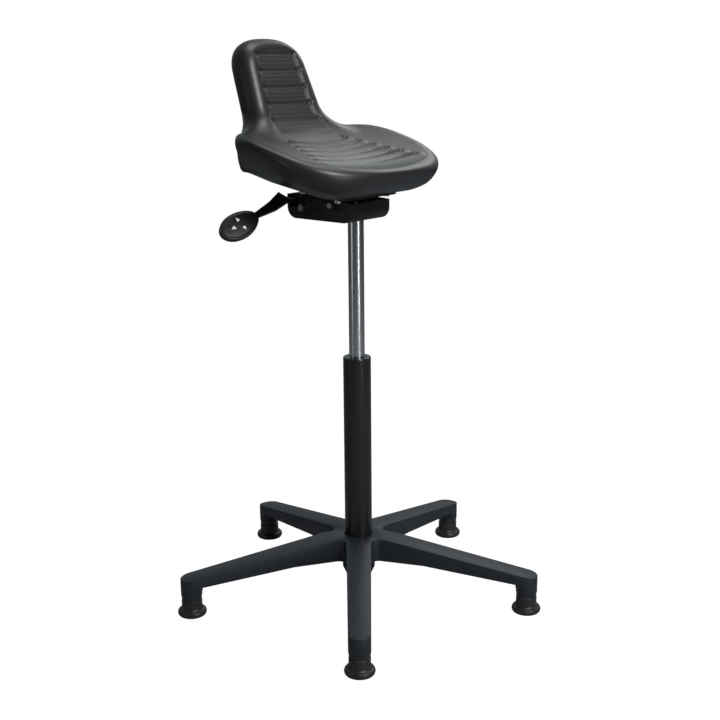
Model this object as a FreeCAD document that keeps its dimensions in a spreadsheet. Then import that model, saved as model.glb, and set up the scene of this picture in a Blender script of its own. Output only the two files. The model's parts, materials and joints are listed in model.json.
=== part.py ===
# Perch stool: a five-arm base on glides, a gas-spring column and a forward-tilting seat with a low back.
import FreeCAD, Part
import math
import os
import Sketcher

V = FreeCAD.Vector
UP = V(0, 0, 1)

# Driving dimensions, in millimetres and degrees.
# The seat faces -Y, the sitter's left is +X and the floor is z = 0 under the column.
SIZES = {
    "arm_count": 5,
    "first_arm_turn": -139.5,
    "glide_circle": 316,
    "hub_top": 113,
    "arm_slope_start": 60,
    "arm_slope": 0.161,
    "arm_under": 71,
    "arm_under_flat": 130,
    "arm_under_end": 54,
    "arm_root_half": 23,
    "socket_radius": 19,
    "socket_low": 38.3,
    "base_wall": 4,
    "hub_radius": 30,
    "hub_low": 36,
    "glide_radius": 25.9,
    "glide_neck": 18.4,
    "glide_flange": 17,
    "stem_radius": 5.5,
    "tube_radius": 25,
    "tube_wall": 2,
    "tube_top": 448,
    "tube_low": 38,
    "taper_top": 106,
    "taper_low_radius": 22.6,
    "guide_length": 80,
    "spring_radius": 14,
    "spring_wall": 2,
    "spring_low": 300,
    "spring_above_floor": 26,
    "rod_radius": 5,
    "journal_radius": 4,
    "tray_floor": 696,
    "tray_half": 50,
    "tray_front": -35,
    "tray_rear": 115,
    "tray_wall": 2.5,
    "tilt_y": 15,
    "tilt_above_floor": 28,
    "clamp_y": 80.2,
    "clamp_above_floor": 19.9,
    "plate_above_floor": 45,
    "plate_pitch": 7.9,
    "plate_thick": 3,
    "bolt_across": "=tray_half + 14",
    "seat_half": 181,
    "seat_depth": 280,
    "seat_middle": 36,
    "seat_top_above_plate": 62,
    "seat_pitch": 15.6,
    "seat_dish": 32,
    "back_height": 191,
    "back_lean": 20.5,
    "back_half": 92,
    "back_thick": 66,
    "lever_x": "=14 - tray_half",
    "lever_y": 99,
    "lever_above_floor": 28,
    "lever_grip_length": 79,
    "lever_grip_half": 23.5,
}

doc = FreeCAD.newDocument("PerchStool")
sheet = doc.addObject("Spreadsheet::Sheet", "Sizes")
for row, alias in enumerate(SIZES, start=1):
    sheet.set("A%d" % row, alias)
    sheet.setAlias("B%d" % row, alias)
for row, number in enumerate(SIZES.values(), start=1):
    sheet.set("B%d" % row, str(number))
doc.recompute()


def size(alias):
    """Value of one cell of the sheet."""
    return float(sheet.get(alias))


def value_of(expression):
    """Number that an expression of the sheet's cells gives now."""
    result = sheet.evalExpression(str(expression).replace("Sizes.", ""))
    return float(getattr(result, "Value", result))


# Helpers for bodies, sketches and features


def new_body(label):
    body = doc.addObject("PartDesign::Body", label)
    body.Label = label
    return body


def new_sketch(body, name, role, offset="0"):
    """Sketch on one of the body's origin planes, moved along the plane's normal by an expression."""
    plane = [item for item in body.Origin.OriginFeatures if item.Role == role][0]
    sketch = body.newObject("Sketcher::SketchObject", name)
    sketch.AttachmentSupport = [(plane, "")]
    sketch.MapMode = "FlatFace"
    sketch.setExpression("AttachmentOffset.Base.z", offset)
    return sketch


def bind(sketch, constraint, name, expression):
    index = sketch.addConstraint(constraint)
    sketch.renameConstraint(index, name)
    sketch.setExpression("Constraints." + name, str(expression))


def draw_loop(sketch, corners):
    """Closed outline with straight sides, each corner placed by two expressions."""
    spots = [V(value_of(across), value_of(along), 0) for across, along in corners]
    first = sketch.GeometryCount
    count = len(corners)
    for index, spot in enumerate(spots):
        sketch.addGeometry(Part.LineSegment(spot, spots[(index + 1) % count]), False)
    for index in range(count):
        following = first + (index + 1) % count
        sketch.addConstraint(Sketcher.Constraint("Coincident", first + index, 2, following, 1))
    for index, (across, along) in enumerate(corners):
        line = first + index
        level = Sketcher.Constraint("DistanceX", -1, 1, line, 1, spots[index].x)
        bind(sketch, level, "across_%d" % line, across)
        upright = Sketcher.Constraint("DistanceY", -1, 1, line, 1, spots[index].y)
        bind(sketch, upright, "along_%d" % line, along)


def draw_circle(sketch, across, along, radius):
    """Circle whose centre and radius are expressions."""
    centre = V(value_of(across), value_of(along), 0)
    line = sketch.addGeometry(Part.Circle(centre, UP, value_of(radius)), False)
    bind(sketch, Sketcher.Constraint("DistanceX", -1, 1, line, 3, centre.x), "across_%d" % line, across)
    bind(sketch, Sketcher.Constraint("DistanceY", -1, 1, line, 3, centre.y), "along_%d" % line, along)
    bind(sketch, Sketcher.Constraint("Radius", line, value_of(radius)), "round_%d" % line, radius)


def pad(body, sketch, length, symmetric=False):
    feature = body.newObject("PartDesign::Pad", sketch.Name + "_pad")
    feature.Profile = sketch
    feature.setExpression("Length", str(length))
    feature.SideType = "Symmetric" if symmetric else "One side"
    doc.recompute()
    return feature


def pocket(body, sketch, length, symmetric=False, reverse=False):
    """Cut that must take material away."""
    before = body.Shape.Volume
    feature = body.newObject("PartDesign::Pocket", sketch.Name + "_pocket")
    feature.Profile = sketch
    feature.Type = "Length"
    feature.setExpression("Length", str(length))
    feature.SideType = "Symmetric" if symmetric else "One side"
    feature.Reversed = reverse
    doc.recompute()
    if body.Shape.Volume > before - 1:
        raise ValueError(sketch.Name + " cuts nothing")
    return feature


def turn(body, sketch, cut=False):
    """Full turn about Z of a sketch on the XZ plane, added or cut away."""
    before = body.Shape.Volume if cut else 0
    kind = "PartDesign::Groove" if cut else "PartDesign::Revolution"
    feature = body.newObject(kind, sketch.Name + "_turn")
    feature.Profile = sketch
    feature.ReferenceAxis = (sketch, ["V_Axis"])
    feature.Angle = 360
    doc.recompute()
    if cut and body.Shape.Volume > before - 1:
        raise ValueError(sketch.Name + " cuts nothing")
    return feature


def around(body, features, count):
    """Polar pattern of some features about Z, made the body's tip."""
    pattern = body.newObject("PartDesign::PolarPattern", "Around")
    pattern.Originals = features
    axis = [item for item in body.Origin.OriginFeatures if item.Role == "Z_Axis"][0]
    pattern.Axis = (axis, [""])
    pattern.Angle = 360
    pattern.setExpression("Occurrences", str(count))
    body.Tip = pattern
    doc.recompute()
    return pattern


def fillet(body, radius, wanted):
    """Fillet on those edges of the body so far whose shape and middle point pass a test."""
    base = body.Tip
    names = []
    for index, edge in enumerate(base.Shape.Edges, start=1):
        middle = edge.valueAt((edge.FirstParameter + edge.LastParameter) / 2)
        if wanted(edge, middle):
            names.append("Edge%d" % index)
    feature = body.newObject("PartDesign::Fillet", "Round")
    feature.Base = (base, names)
    feature.Radius = radius
    doc.recompute()
    if not names or "Invalid" in feature.State:
        raise ValueError("%s: fillet %g fails on %d edges" % (body.Label, radius, len(names)))
    return feature


def level_circle(height, radius):
    """Test for a level circular edge of one radius at one height."""
    def wanted(edge, middle):
        if not isinstance(edge.Curve, Part.Circle):
            return False
        return abs(middle.z - height) < 0.01 and abs(edge.Curve.Radius - radius) < 0.01
    return wanted


def turned(label, corners):
    """Piece turned about the Z axis from one outline of radius and height expressions."""
    body = new_body(label)
    sketch = new_sketch(body, label + "_outline", "XZ_Plane")
    draw_loop(sketch, corners)
    turn(body, sketch)
    return body


def ring(label, inner, outer, low, high):
    """Plain ring about the Z axis between two heights."""
    return turned(label, [(inner, low), (outer, low), (outer, high), (inner, high)])


def cylinder(label, radius, length, base, axis=UP):
    """Part cylinder whose sizes and base point are expressions."""
    item = doc.addObject("Part::Cylinder", label)
    item.Label = label
    item.Placement.Rotation = FreeCAD.Rotation(UP, axis)
    item.setExpression("Radius", str(radius))
    item.setExpression("Height", str(length))
    for name, expression in zip("xyz", base):
        item.setExpression("Placement.Base." + name, str(expression))
    return item


def group(label, members):
    """Several like pieces that share one node."""
    compound = doc.addObject("Part::Compound", label)
    compound.Label = label
    compound.Links = members
    return compound


def put(item, base, turn_axis=None, angle=None):
    """Placement of a piece by expressions."""
    if turn_axis is not None:
        item.Placement.Rotation = FreeCAD.Rotation(turn_axis, value_of(angle))
        item.setExpression("Placement.Rotation.Angle", str(angle))
    for name, expression in zip("xyz", base):
        item.setExpression("Placement.Base." + name, str(expression))
    return item


def feature_of(label, shape, placement=None):
    """Part::Feature for a shape that Part's own functions make."""
    feature = doc.addObject("Part::Feature", label)
    feature.Label = label
    feature.Shape = shape
    if placement is not None:
        feature.Placement = placement
    return feature


# Base


def arm_height(distance):
    """Height of an arm's sloping top at a distance from the column."""
    return "Sizes.hub_top - Sizes.arm_slope * (%s - Sizes.arm_slope_start)" % distance


def arm_underside(distance):
    """Height of an arm's underside at a distance from the column, beyond its level stretch."""
    drop = "(Sizes.arm_under - Sizes.arm_under_end)"
    run = "(Sizes.glide_circle - Sizes.arm_under_flat)"
    return "Sizes.arm_under - %s * (%s - Sizes.arm_under_flat) / %s" % (drop, distance, run)


def build_star_base():
    """Five-arm base, hollow and ribbed underneath, with a taper bore for the column."""
    body = new_body("star_base")
    tip = "(Sizes.glide_circle + Sizes.socket_radius + 5)"
    plan = new_sketch(body, "arm_plan", "XY_Plane", "Sizes.arm_under_end - 3")
    draw_loop(plan, [
        ("0", "-Sizes.arm_root_half"),
        ("Sizes.glide_circle", "-Sizes.socket_radius"),
        ("Sizes.glide_circle", "Sizes.socket_radius"),
        ("0", "Sizes.arm_root_half"),
    ])
    features = [pad(body, plan, "Sizes.hub_top - Sizes.arm_under_end + 3")]
    end = new_sketch(body, "socket_plan", "XY_Plane", "Sizes.socket_low")
    draw_circle(end, "Sizes.glide_circle", "0", "Sizes.socket_radius")
    features.append(pad(body, end, "Sizes.hub_top - Sizes.socket_low"))

    above = new_sketch(body, "above_arm", "XZ_Plane")
    draw_loop(above, [
        ("Sizes.arm_slope_start", "Sizes.hub_top"),
        (tip, arm_height(tip)),
        (tip, "Sizes.hub_top + 5"),
        ("Sizes.arm_slope_start", "Sizes.hub_top + 5"),
    ])
    features.append(pocket(body, above, "Sizes.arm_root_half * 3", symmetric=True))

    socket_edge = "(Sizes.glide_circle - Sizes.socket_radius * 0.9)"
    under = new_sketch(body, "under_arm", "XZ_Plane")
    draw_loop(under, [
        ("-1", "Sizes.arm_under_end - 4"),
        (socket_edge, "Sizes.arm_under_end - 4"),
        (socket_edge, arm_underside(socket_edge)),
        ("Sizes.arm_under_flat", "Sizes.arm_under"),
        ("-1", "Sizes.arm_under"),
    ])
    features.append(pocket(body, under, "Sizes.arm_root_half * 3", symmetric=True))

    cells = new_sketch(body, "arm_cells", "XZ_Plane")
    cell_count = 4
    inner_end = "(Sizes.hub_radius + Sizes.base_wall)"
    pitch = "((%s - Sizes.base_wall - %s) / %d)" % (socket_edge, inner_end, cell_count)
    for cell in range(cell_count):
        near = "(%s + %s * %d)" % (inner_end, pitch, cell)
        far = "(%s + %s * %d - Sizes.base_wall)" % (inner_end, pitch, cell + 1)
        near_roof = arm_height(near) if cell else "Sizes.hub_top"
        draw_loop(cells, [
            (near, "Sizes.socket_low"),
            (far, "Sizes.socket_low"),
            (far, arm_height(far) + " - Sizes.base_wall"),
            (near, near_roof + " - Sizes.base_wall"),
        ])
    features.append(pocket(body, cells, "(Sizes.socket_radius - Sizes.base_wall) * 2", symmetric=True))

    stem = new_sketch(body, "stem_hole", "XY_Plane", "Sizes.socket_low")
    draw_circle(stem, "Sizes.glide_circle", "0", "Sizes.stem_radius + 0.05")
    features.append(pocket(body, stem, "21", reverse=True))
    around(body, features, "Sizes.arm_count")

    def inner_corner(edge, middle):
        upright = edge.BoundBox.ZLength > 10 and edge.BoundBox.XLength + edge.BoundBox.YLength < 0.1
        distance = math.hypot(middle.x, middle.y)
        return upright and distance < size("arm_root_half") * 1.9 and middle.z > size("arm_under")
    fillet(body, 14, inner_corner)

    collar = new_sketch(body, "hub_collar", "XZ_Plane")
    draw_loop(collar, [
        ("0", "Sizes.hub_low"),
        ("Sizes.taper_low_radius + 1.7", "Sizes.hub_low"),
        ("Sizes.hub_radius", "Sizes.hub_low + 12"),
        ("Sizes.hub_radius", "Sizes.hub_top - 1"),
        ("0", "Sizes.hub_top - 1"),
    ])
    turn(body, collar)
    bore = new_sketch(body, "hub_bore", "XZ_Plane")
    draw_loop(bore, [
        ("0", "Sizes.hub_low - 1"),
        ("Sizes.taper_low_radius", "Sizes.hub_low - 1"),
        ("Sizes.taper_low_radius", "Sizes.tube_low"),
        ("Sizes.tube_radius", "Sizes.taper_top"),
        ("Sizes.tube_radius + 1.2", "Sizes.taper_top"),
        ("Sizes.tube_radius + 1.2", "Sizes.hub_top + 1"),
        ("0", "Sizes.hub_top + 1"),
    ])
    turn(body, bore, cut=True)
    return put(body, ("0", "0", "0"), UP, "Sizes.first_arm_turn")


def glide_spot(index):
    """Expressions for the place of one glide on the floor."""
    angle = "(Sizes.first_arm_turn + 360 / Sizes.arm_count * %d)" % index
    return ("Sizes.glide_circle * cos(%s)" % angle, "Sizes.glide_circle * sin(%s)" % angle)


def build_glides():
    """Round floor glides, each with a blind hole for its stem."""
    pieces = []
    for index in range(int(size("arm_count"))):
        body = turned("glide_%d" % (index + 1), [
            ("0", "0"),
            ("Sizes.glide_radius", "0"),
            ("Sizes.glide_radius", "Sizes.glide_flange"),
            ("Sizes.glide_neck", "Sizes.glide_flange + 1"),
            ("Sizes.glide_neck", "Sizes.socket_low - 0.6"),
            ("Sizes.stem_radius + 0.05", "Sizes.socket_low - 0.6"),
            ("Sizes.stem_radius + 0.05", "12"),
            ("0", "12"),
        ])
        fillet(body, 6, level_circle(0, size("glide_radius")))
        fillet(body, 5, level_circle(size("glide_flange"), size("glide_radius")))
        across, along = glide_spot(index)
        pieces.append(put(body, (across, along, "0")))
    return pieces


def build_glide_stems():
    """Steel stems, pressed into the arms, that carry the glides; a collar spaces each glide off its arm."""
    stems = []
    for index in range(int(size("arm_count"))):
        across, along = glide_spot(index)
        pin = cylinder("stem_pin_%d" % index, "Sizes.stem_radius", "Sizes.socket_low + 20 - 12.2",
                       (across, along, "12.2"))
        collar = cylinder("stem_collar_%d" % index, "Sizes.stem_radius + 4", "0.6",
                          (across, along, "Sizes.socket_low - 0.6"))
        stem = doc.addObject("Part::Fuse", "stem_%d" % index)
        stem.Base = pin
        stem.Tool = collar
        stems.append(stem)
    return group("glide_stems", stems)


# Column


def build_column_tube():
    """Outer tube with a taper foot and an inturned lip that carries the end plate."""
    return turned("column_tube", [
        ("18", "Sizes.tube_low"),
        ("Sizes.taper_low_radius", "Sizes.tube_low"),
        ("Sizes.tube_radius", "Sizes.taper_top"),
        ("Sizes.tube_radius", "Sizes.tube_top"),
        ("Sizes.tube_radius - Sizes.tube_wall", "Sizes.tube_top"),
        ("Sizes.tube_radius - Sizes.tube_wall", "Sizes.taper_top"),
        ("Sizes.taper_low_radius - Sizes.tube_wall", "Sizes.tube_low + 4"),
        ("18", "Sizes.tube_low + 4"),
    ])


def build_column_guide():
    """Plastic guide bush in the top of the tube, with a rounded lip over the tube's rim."""
    body = turned("column_guide", [
        ("Sizes.spring_radius + 0.08", "Sizes.tube_top - Sizes.guide_length"),
        ("Sizes.tube_radius - Sizes.tube_wall - 0.05", "Sizes.tube_top - Sizes.guide_length"),
        ("Sizes.tube_radius - Sizes.tube_wall - 0.05", "Sizes.tube_top"),
        ("Sizes.tube_radius", "Sizes.tube_top"),
        ("Sizes.tube_radius", "Sizes.tube_top + 3"),
        ("Sizes.spring_radius + 0.08", "Sizes.tube_top + 3"),
    ])
    fillet(body, 2, level_circle(size("tube_top") + 3, size("tube_radius")))
    return body


def build_thrust_bearing():
    """End plate, two races, caged balls, rubber buffer and washer on the rod's journal."""
    floor = "Sizes.tube_low + 4"
    ring("tube_end_plate", "Sizes.journal_radius + 0.3", "Sizes.taper_low_radius - Sizes.tube_wall - 0.1",
         floor, floor + " + 3")
    ring("lower_race", "Sizes.journal_radius + 2", "15", floor + " + 3", floor + " + 4")
    ring("upper_race", "Sizes.journal_radius + 0.3", "15", floor + " + 7", floor + " + 8")
    ring("rubber_buffer", "Sizes.journal_radius + 0.3", "17", floor + " + 8", floor + " + 20")
    ring("buffer_washer", "Sizes.journal_radius + 0.05", "14", floor + " + 20", floor + " + 21.5")
    ball_count = 12
    ball_circle = 10.5
    ball_radius = 1.5
    cage = ring("ball_cage", "7.5", "13.5", floor + " + 5", floor + " + 6")
    hole = new_sketch(cage, "cage_hole", "XY_Plane", floor + " + 4")
    draw_circle(hole, str(ball_circle), "0", str(ball_radius + 0.15))
    cut = pocket(cage, hole, "4", reverse=True)
    around(cage, [cut], ball_count)
    balls = []
    for index in range(ball_count):
        ball = doc.addObject("Part::Sphere", "ball_%d" % index)
        ball.Radius = ball_radius
        angle = 2 * math.pi * index / ball_count
        put(ball, (ball_circle * math.cos(angle), ball_circle * math.sin(angle), floor + " + 5.5"))
        balls.append(ball)
    group("bearing_balls", balls)


def build_piston_rod():
    """Rod that stands on the washer, with its journal, clip, piston and nut."""
    floor = "Sizes.tube_low + 4"
    top = "Sizes.spring_low + 55"
    turned("piston_rod", [
        ("0", floor + " - 3"),
        ("Sizes.journal_radius", floor + " - 3"),
        ("Sizes.journal_radius", floor + " + 21.5"),
        ("Sizes.rod_radius", floor + " + 21.5"),
        ("Sizes.rod_radius", top),
        ("0", top),
    ])
    ring("rod_clip", "Sizes.journal_radius + 0.05", "9", floor + " - 1.9", floor + " - 0.3")
    bore = "Sizes.rod_radius + 0.05"
    skirt = "Sizes.spring_radius - Sizes.spring_wall - 0.3"
    ring("piston", bore, skirt, "Sizes.spring_low + 34", "Sizes.spring_low + 50")
    ring("piston_nut", bore, "Sizes.rod_radius + 3", "Sizes.spring_low + 50", "Sizes.spring_low + 54")


def build_gas_spring():
    """Pressure tube with its taper end, rod guide, valve and release pin."""
    inner = "Sizes.spring_radius - Sizes.spring_wall"
    top = "Sizes.tray_floor + Sizes.spring_above_floor"
    turned("pressure_tube", [
        ("Sizes.rod_radius + 2", "Sizes.spring_low"),
        ("Sizes.spring_radius", "Sizes.spring_low"),
        ("Sizes.spring_radius", "Sizes.tray_floor"),
        ("Sizes.spring_radius - 1", top),
        ("2.8", top),
        ("2.8", top + " - 3"),
        (inner, top + " - 3"),
        (inner, "Sizes.spring_low + 2"),
        ("Sizes.rod_radius + 2", "Sizes.spring_low + 2"),
    ])
    ring("rod_guide", "Sizes.rod_radius + 0.08", inner + " - 0.05", "Sizes.spring_low + 2", "Sizes.spring_low + 26")
    ring("valve_body", "2.6", inner + " - 0.05", top + " - 32", top + " - 3")
    turned("release_pin", [
        ("0", top + " - 17"),
        ("2.5", top + " - 17"),
        ("2.5", top + " + 4"),
        ("4", top + " + 4"),
        ("4", top + " + 6.4"),
        ("3", top + " + 7"),
        ("0", top + " + 7"),
    ])


# Mechanism


def build_tray():
    """Pressed tray with rounded ends, holed for the column, rivets, clamp bolt and lever."""
    body = new_body("mechanism_tray")
    floor = "Sizes.tray_floor"
    wall = "Sizes.tray_wall"
    front_top = "Sizes.tray_floor + Sizes.plate_above_floor - 11"
    rear_top = "Sizes.tray_floor + Sizes.plate_above_floor - 3"
    side = new_sketch(body, "tray_side", "YZ_Plane")
    draw_loop(side, [
        ("Sizes.tray_front", floor),
        ("Sizes.tray_rear", floor),
        ("Sizes.tray_rear", rear_top),
        ("Sizes.tray_front", front_top),
    ])
    pad(body, side, "Sizes.tray_half * 2", symmetric=True)
    outer_bend = 20

    def bottom_bend(height):
        def wanted(edge, middle):
            return edge.BoundBox.XLength > 50 and abs(middle.z - height) < 0.01
        return wanted
    hollow = new_sketch(body, "tray_hollow", "YZ_Plane")
    draw_loop(hollow, [
        ("Sizes.tray_front + " + wall, floor + " + " + wall),
        ("Sizes.tray_rear - " + wall, floor + " + " + wall),
        ("Sizes.tray_rear - " + wall, rear_top + " + 5"),
        ("Sizes.tray_front + " + wall, front_top + " + 5"),
    ])
    pocket(body, hollow, "(Sizes.tray_half - Sizes.tray_wall) * 2", symmetric=True)
    fillet(body, outer_bend - size("tray_wall"), bottom_bend(size("tray_floor") + size("tray_wall")))
    fillet(body, outer_bend, bottom_bend(size("tray_floor")))
    column = new_sketch(body, "column_hole", "XY_Plane", floor + " - 1")
    draw_circle(column, "0", "0", "Sizes.spring_radius + 0.3")
    pocket(body, column, "6", reverse=True)
    pivots = new_sketch(body, "side_holes", "YZ_Plane")
    draw_circle(pivots, "Sizes.tilt_y", "Sizes.tray_floor + Sizes.tilt_above_floor", "4.05")
    draw_circle(pivots, "Sizes.clamp_y", "Sizes.tray_floor + Sizes.clamp_above_floor", "3.1")
    pocket(body, pivots, "Sizes.tray_half * 2 + 4", symmetric=True)
    slot = new_sketch(body, "lever_slot", "YZ_Plane", "-Sizes.tray_half - 1")
    draw_loop(slot, [
        ("Sizes.lever_y - 11.8", "Sizes.tray_floor + Sizes.lever_above_floor - 8"),
        ("Sizes.lever_y + 12.2", "Sizes.tray_floor + Sizes.lever_above_floor - 8"),
        ("Sizes.lever_y + 12.2", rear_top + " + 5"),
        ("Sizes.lever_y - 11.8", rear_top + " + 5"),
    ])
    pocket(body, slot, wall + " + 2", reverse=True)
    rear = new_sketch(body, "lever_pin_hole", "XZ_Plane", "-Sizes.tray_rear - 1")
    draw_circle(rear, "Sizes.lever_x", "Sizes.tray_floor + Sizes.lever_above_floor", "2.55")
    pocket(body, rear, wall + " + 2", reverse=True)
    return body


def build_cone_socket():
    """Steel socket welded on the tray floor, bored to the gas spring's taper."""
    low = "Sizes.tray_floor + Sizes.tray_wall"
    high = "Sizes.tray_floor + Sizes.spring_above_floor - 2"
    run = "Sizes.spring_above_floor"
    return turned("cone_socket", [
        ("Sizes.spring_radius - Sizes.tray_wall / " + run, low),
        ("Sizes.spring_radius + 5", low),
        ("Sizes.spring_radius + 4", high),
        ("Sizes.spring_radius - (%s - 2) / %s" % (run, run), high),
    ])


def build_side_fasteners():
    """Pivot rivets, clamp bolt with its nut and sleeve, and the lever's pin and bracket."""
    tilt = ("Sizes.tilt_y", "Sizes.tray_floor + Sizes.tilt_above_floor")
    clamp = ("Sizes.clamp_y", "Sizes.tray_floor + Sizes.clamp_above_floor")
    rivets = []
    for side, axis in ((1, V(1, 0, 0)), (-1, V(-1, 0, 0))):
        shank = cylinder("rivet_shank_%d" % side, "4", "11", ("%d * (Sizes.tray_half - 8)" % side,) + tilt, axis)
        inner = cylinder("rivet_foot_%d" % side, "4.8", "2", ("%d * (Sizes.tray_half - 8)" % side,) + tilt, axis)
        head = cylinder("rivet_head_%d" % side, "5", "2", ("%d * Sizes.tray_half" % side,) + tilt, axis)
        rivet = doc.addObject("Part::MultiFuse", "rivet_%d" % side)
        rivet.Shapes = [shank, inner, head]
        rivets.append(rivet)
    group("pivot_rivets", rivets)

    left = V(1, 0, 0)
    shank = cylinder("bolt_shank", "3", "Sizes.tray_half * 2 + 7", ("-Sizes.tray_half - 1",) + clamp, left)
    head = cylinder("bolt_head", "6", "4", ("-Sizes.tray_half - 4",) + clamp, left)
    bolt = doc.addObject("Part::Fuse", "clamp_bolt")
    bolt.Label = "clamp_bolt"
    bolt.Base = shank
    bolt.Tool = head
    blank = cylinder("nut_blank", "6", "5", ("Sizes.tray_half",) + clamp, left)
    hole = cylinder("nut_hole", "3.05", "7", ("Sizes.tray_half - 1",) + clamp, left)
    nut = doc.addObject("Part::Cut", "clamp_nut")
    nut.Label = "clamp_nut"
    nut.Base = blank
    nut.Tool = hole
    reach = "(Sizes.tray_half - Sizes.tray_wall - 3.1)"
    blank = cylinder("sleeve_blank", "5", reach + " * 2", ("-" + reach,) + clamp, left)
    hole = cylinder("sleeve_hole", "3.05", reach + " * 2 + 2", ("-" + reach + " - 1",) + clamp, left)
    sleeve = doc.addObject("Part::Cut", "clamp_sleeve")
    sleeve.Label = "clamp_sleeve"
    sleeve.Base = blank
    sleeve.Tool = hole

    height = "Sizes.tray_floor + Sizes.lever_above_floor"
    cylinder("lever_pin", "2.5", "29", ("Sizes.lever_x", "Sizes.lever_y - 13.5", height), V(0, 1, 0))
    bracket = new_body("lever_bracket")
    face = new_sketch(bracket, "bracket_face", "XZ_Plane", "-Sizes.lever_y + 10.5")
    draw_loop(face, [
        ("Sizes.lever_x - 7", "Sizes.tray_floor + Sizes.tray_wall"),
        ("Sizes.lever_x + 9", "Sizes.tray_floor + Sizes.tray_wall"),
        ("Sizes.lever_x + 3.5", height + " + 4.6"),
        ("Sizes.lever_x - 3.5", height + " + 4.6"),
    ])
    draw_circle(face, "Sizes.lever_x", height, "2.55")
    pad(bracket, face, "2.5")


# Lever


def section(centre, wide, thick, width, depth):
    """Rectangular wire about a centre, along two unit directions."""
    half_wide = wide * (width / 2)
    half_thick = thick * (depth / 2)
    corners = [
        centre - half_wide - half_thick,
        centre + half_wide - half_thick,
        centre + half_wide + half_thick,
        centre - half_wide + half_thick,
    ]
    return Part.makePolygon(corners + corners[:1])


def grip_axes():
    """Directions of the grip: outward along it, across it, and square to its face."""
    along = V(-0.93, 0.11, -0.35).normalize()
    across = V(-0.16, 0.74, 0.66)
    across = (across - along * across.dot(along)).normalize()
    return along, across, across.cross(along)


def lever_point(x_out, y_off, z_off):
    """Point placed from the lever's pin."""
    height = size("tray_floor") + size("lever_above_floor")
    return V(size("lever_x") + x_out, size("lever_y") + y_off, height + z_off)


def grip_root():
    return lever_point(-108.8, -1.4, -13)


def build_lever_arm():
    """Flat bar from a barrel on the pin out to the grip, with a tongue that reaches over the release pin."""
    along, across, face = grip_axes()
    level = V(0, 1, 0)
    tipped = V(0, 0.86, 0.51)
    stations = [
        section(lever_point(-1, 0, 2), level, UP, 19, 6),
        section(lever_point(-20, 0, 5), level, UP, 19, 6),
        section(lever_point(-42, 0, 10.5), tipped, V(1, 0, 0).cross(tipped), 27, 6),
        section(lever_point(-68, 0, -2), across, face, 19, 6),
        section(grip_root(), across, face, 10, 6),
    ]
    arm = Part.makeLoft(stations, True, True)
    barrel = Part.makeCylinder(6, 20, lever_point(0, -10, 0), level)
    lift = 5.3
    thick = 3
    rail = Part.makeBox(12, size("lever_y") + 16, thick, lever_point(-6, -size("lever_y") - 6, lift))
    reach = -size("lever_x") + 12
    tongue = Part.makeBox(reach, 12, thick, lever_point(-6, -size("lever_y") - 6, lift))
    bore = Part.makeCylinder(2.55, 30, lever_point(0, -15, 0), level)
    solid = arm.fuse([barrel, rail, tongue]).cut(bore).removeSplitter()
    return feature_of("lever_arm", solid.Solids[0])


def build_lever_grip():
    """Teardrop grip with a shallow recess on its face, and the symbol plate that fills it."""
    along, across, face = grip_axes()
    turn_to = FreeCAD.Rotation(along, face.cross(along), face, "XZY")
    tip_centre = "(Sizes.lever_grip_length - Sizes.lever_grip_half)"

    def teardrop(body, name, margin, low, depth):
        for shape_name in ("wedge", "round"):
            outline = new_sketch(body, name + "_" + shape_name, "XY_Plane", low)
            if shape_name == "wedge":
                near_side = [(margin, "-(6 - %s * 0.6)" % margin)]
                for share, fullness in ((0.16, 0.58), (0.4, 0.84), (0.76, 0.98)):
                    reach = "%s * %s" % (tip_centre, share)
                    near_side.append((reach, "-(Sizes.lever_grip_half - %s) * %s" % (margin, fullness)))
                far_side = [(along, across[1:]) for along, across in reversed(near_side)]
                draw_loop(outline, near_side + far_side)
            else:
                draw_circle(outline, tip_centre, "0", "Sizes.lever_grip_half - " + margin)
            pad(body, outline, depth)

    grip = new_body("lever_grip")
    teardrop(grip, "grip", "0", "-5", "9")
    recess = new_sketch(grip, "grip_recess", "XY_Plane", "5")
    draw_circle(recess, tip_centre, "0", "Sizes.lever_grip_half - 3.5")
    pocket(grip, recess, "2")
    plate = new_body("symbol_plate")
    disc = new_sketch(plate, "symbol_disc", "XY_Plane", "3")
    draw_circle(disc, tip_centre, "0", "Sizes.lever_grip_half - 3.6")
    pad(plate, disc, "0.9")
    for piece in (grip, plate):
        piece.Placement = FreeCAD.Placement(grip_root(), turn_to)


# Seat support


def in_plate(y, z):
    """A place of the stool given in the tilted frame of the seat plate, as two expressions."""
    cosine = "cos(Sizes.plate_pitch)"
    sine = "sin(Sizes.plate_pitch)"
    drop = "(%s - Sizes.plate_above_floor)" % z
    return ("%s * %s + %s * %s" % (y, cosine, drop, sine), "%s * %s - %s * %s" % (drop, cosine, y, sine))


def put_on_plate(item):
    """Placement in the frame of the seat plate: at its height over the column, pitched forward."""
    origin = ("0", "0", "Sizes.tray_floor + Sizes.plate_above_floor")
    return put(item, origin, V(1, 0, 0), "Sizes.plate_pitch")


def bolt_spots():
    """Places of the four seat bolts in the plate's frame."""
    return [(side, "%d * Sizes.bolt_across" % side, along) for along in (-16, 64) for side in (-1, 1)]


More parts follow.
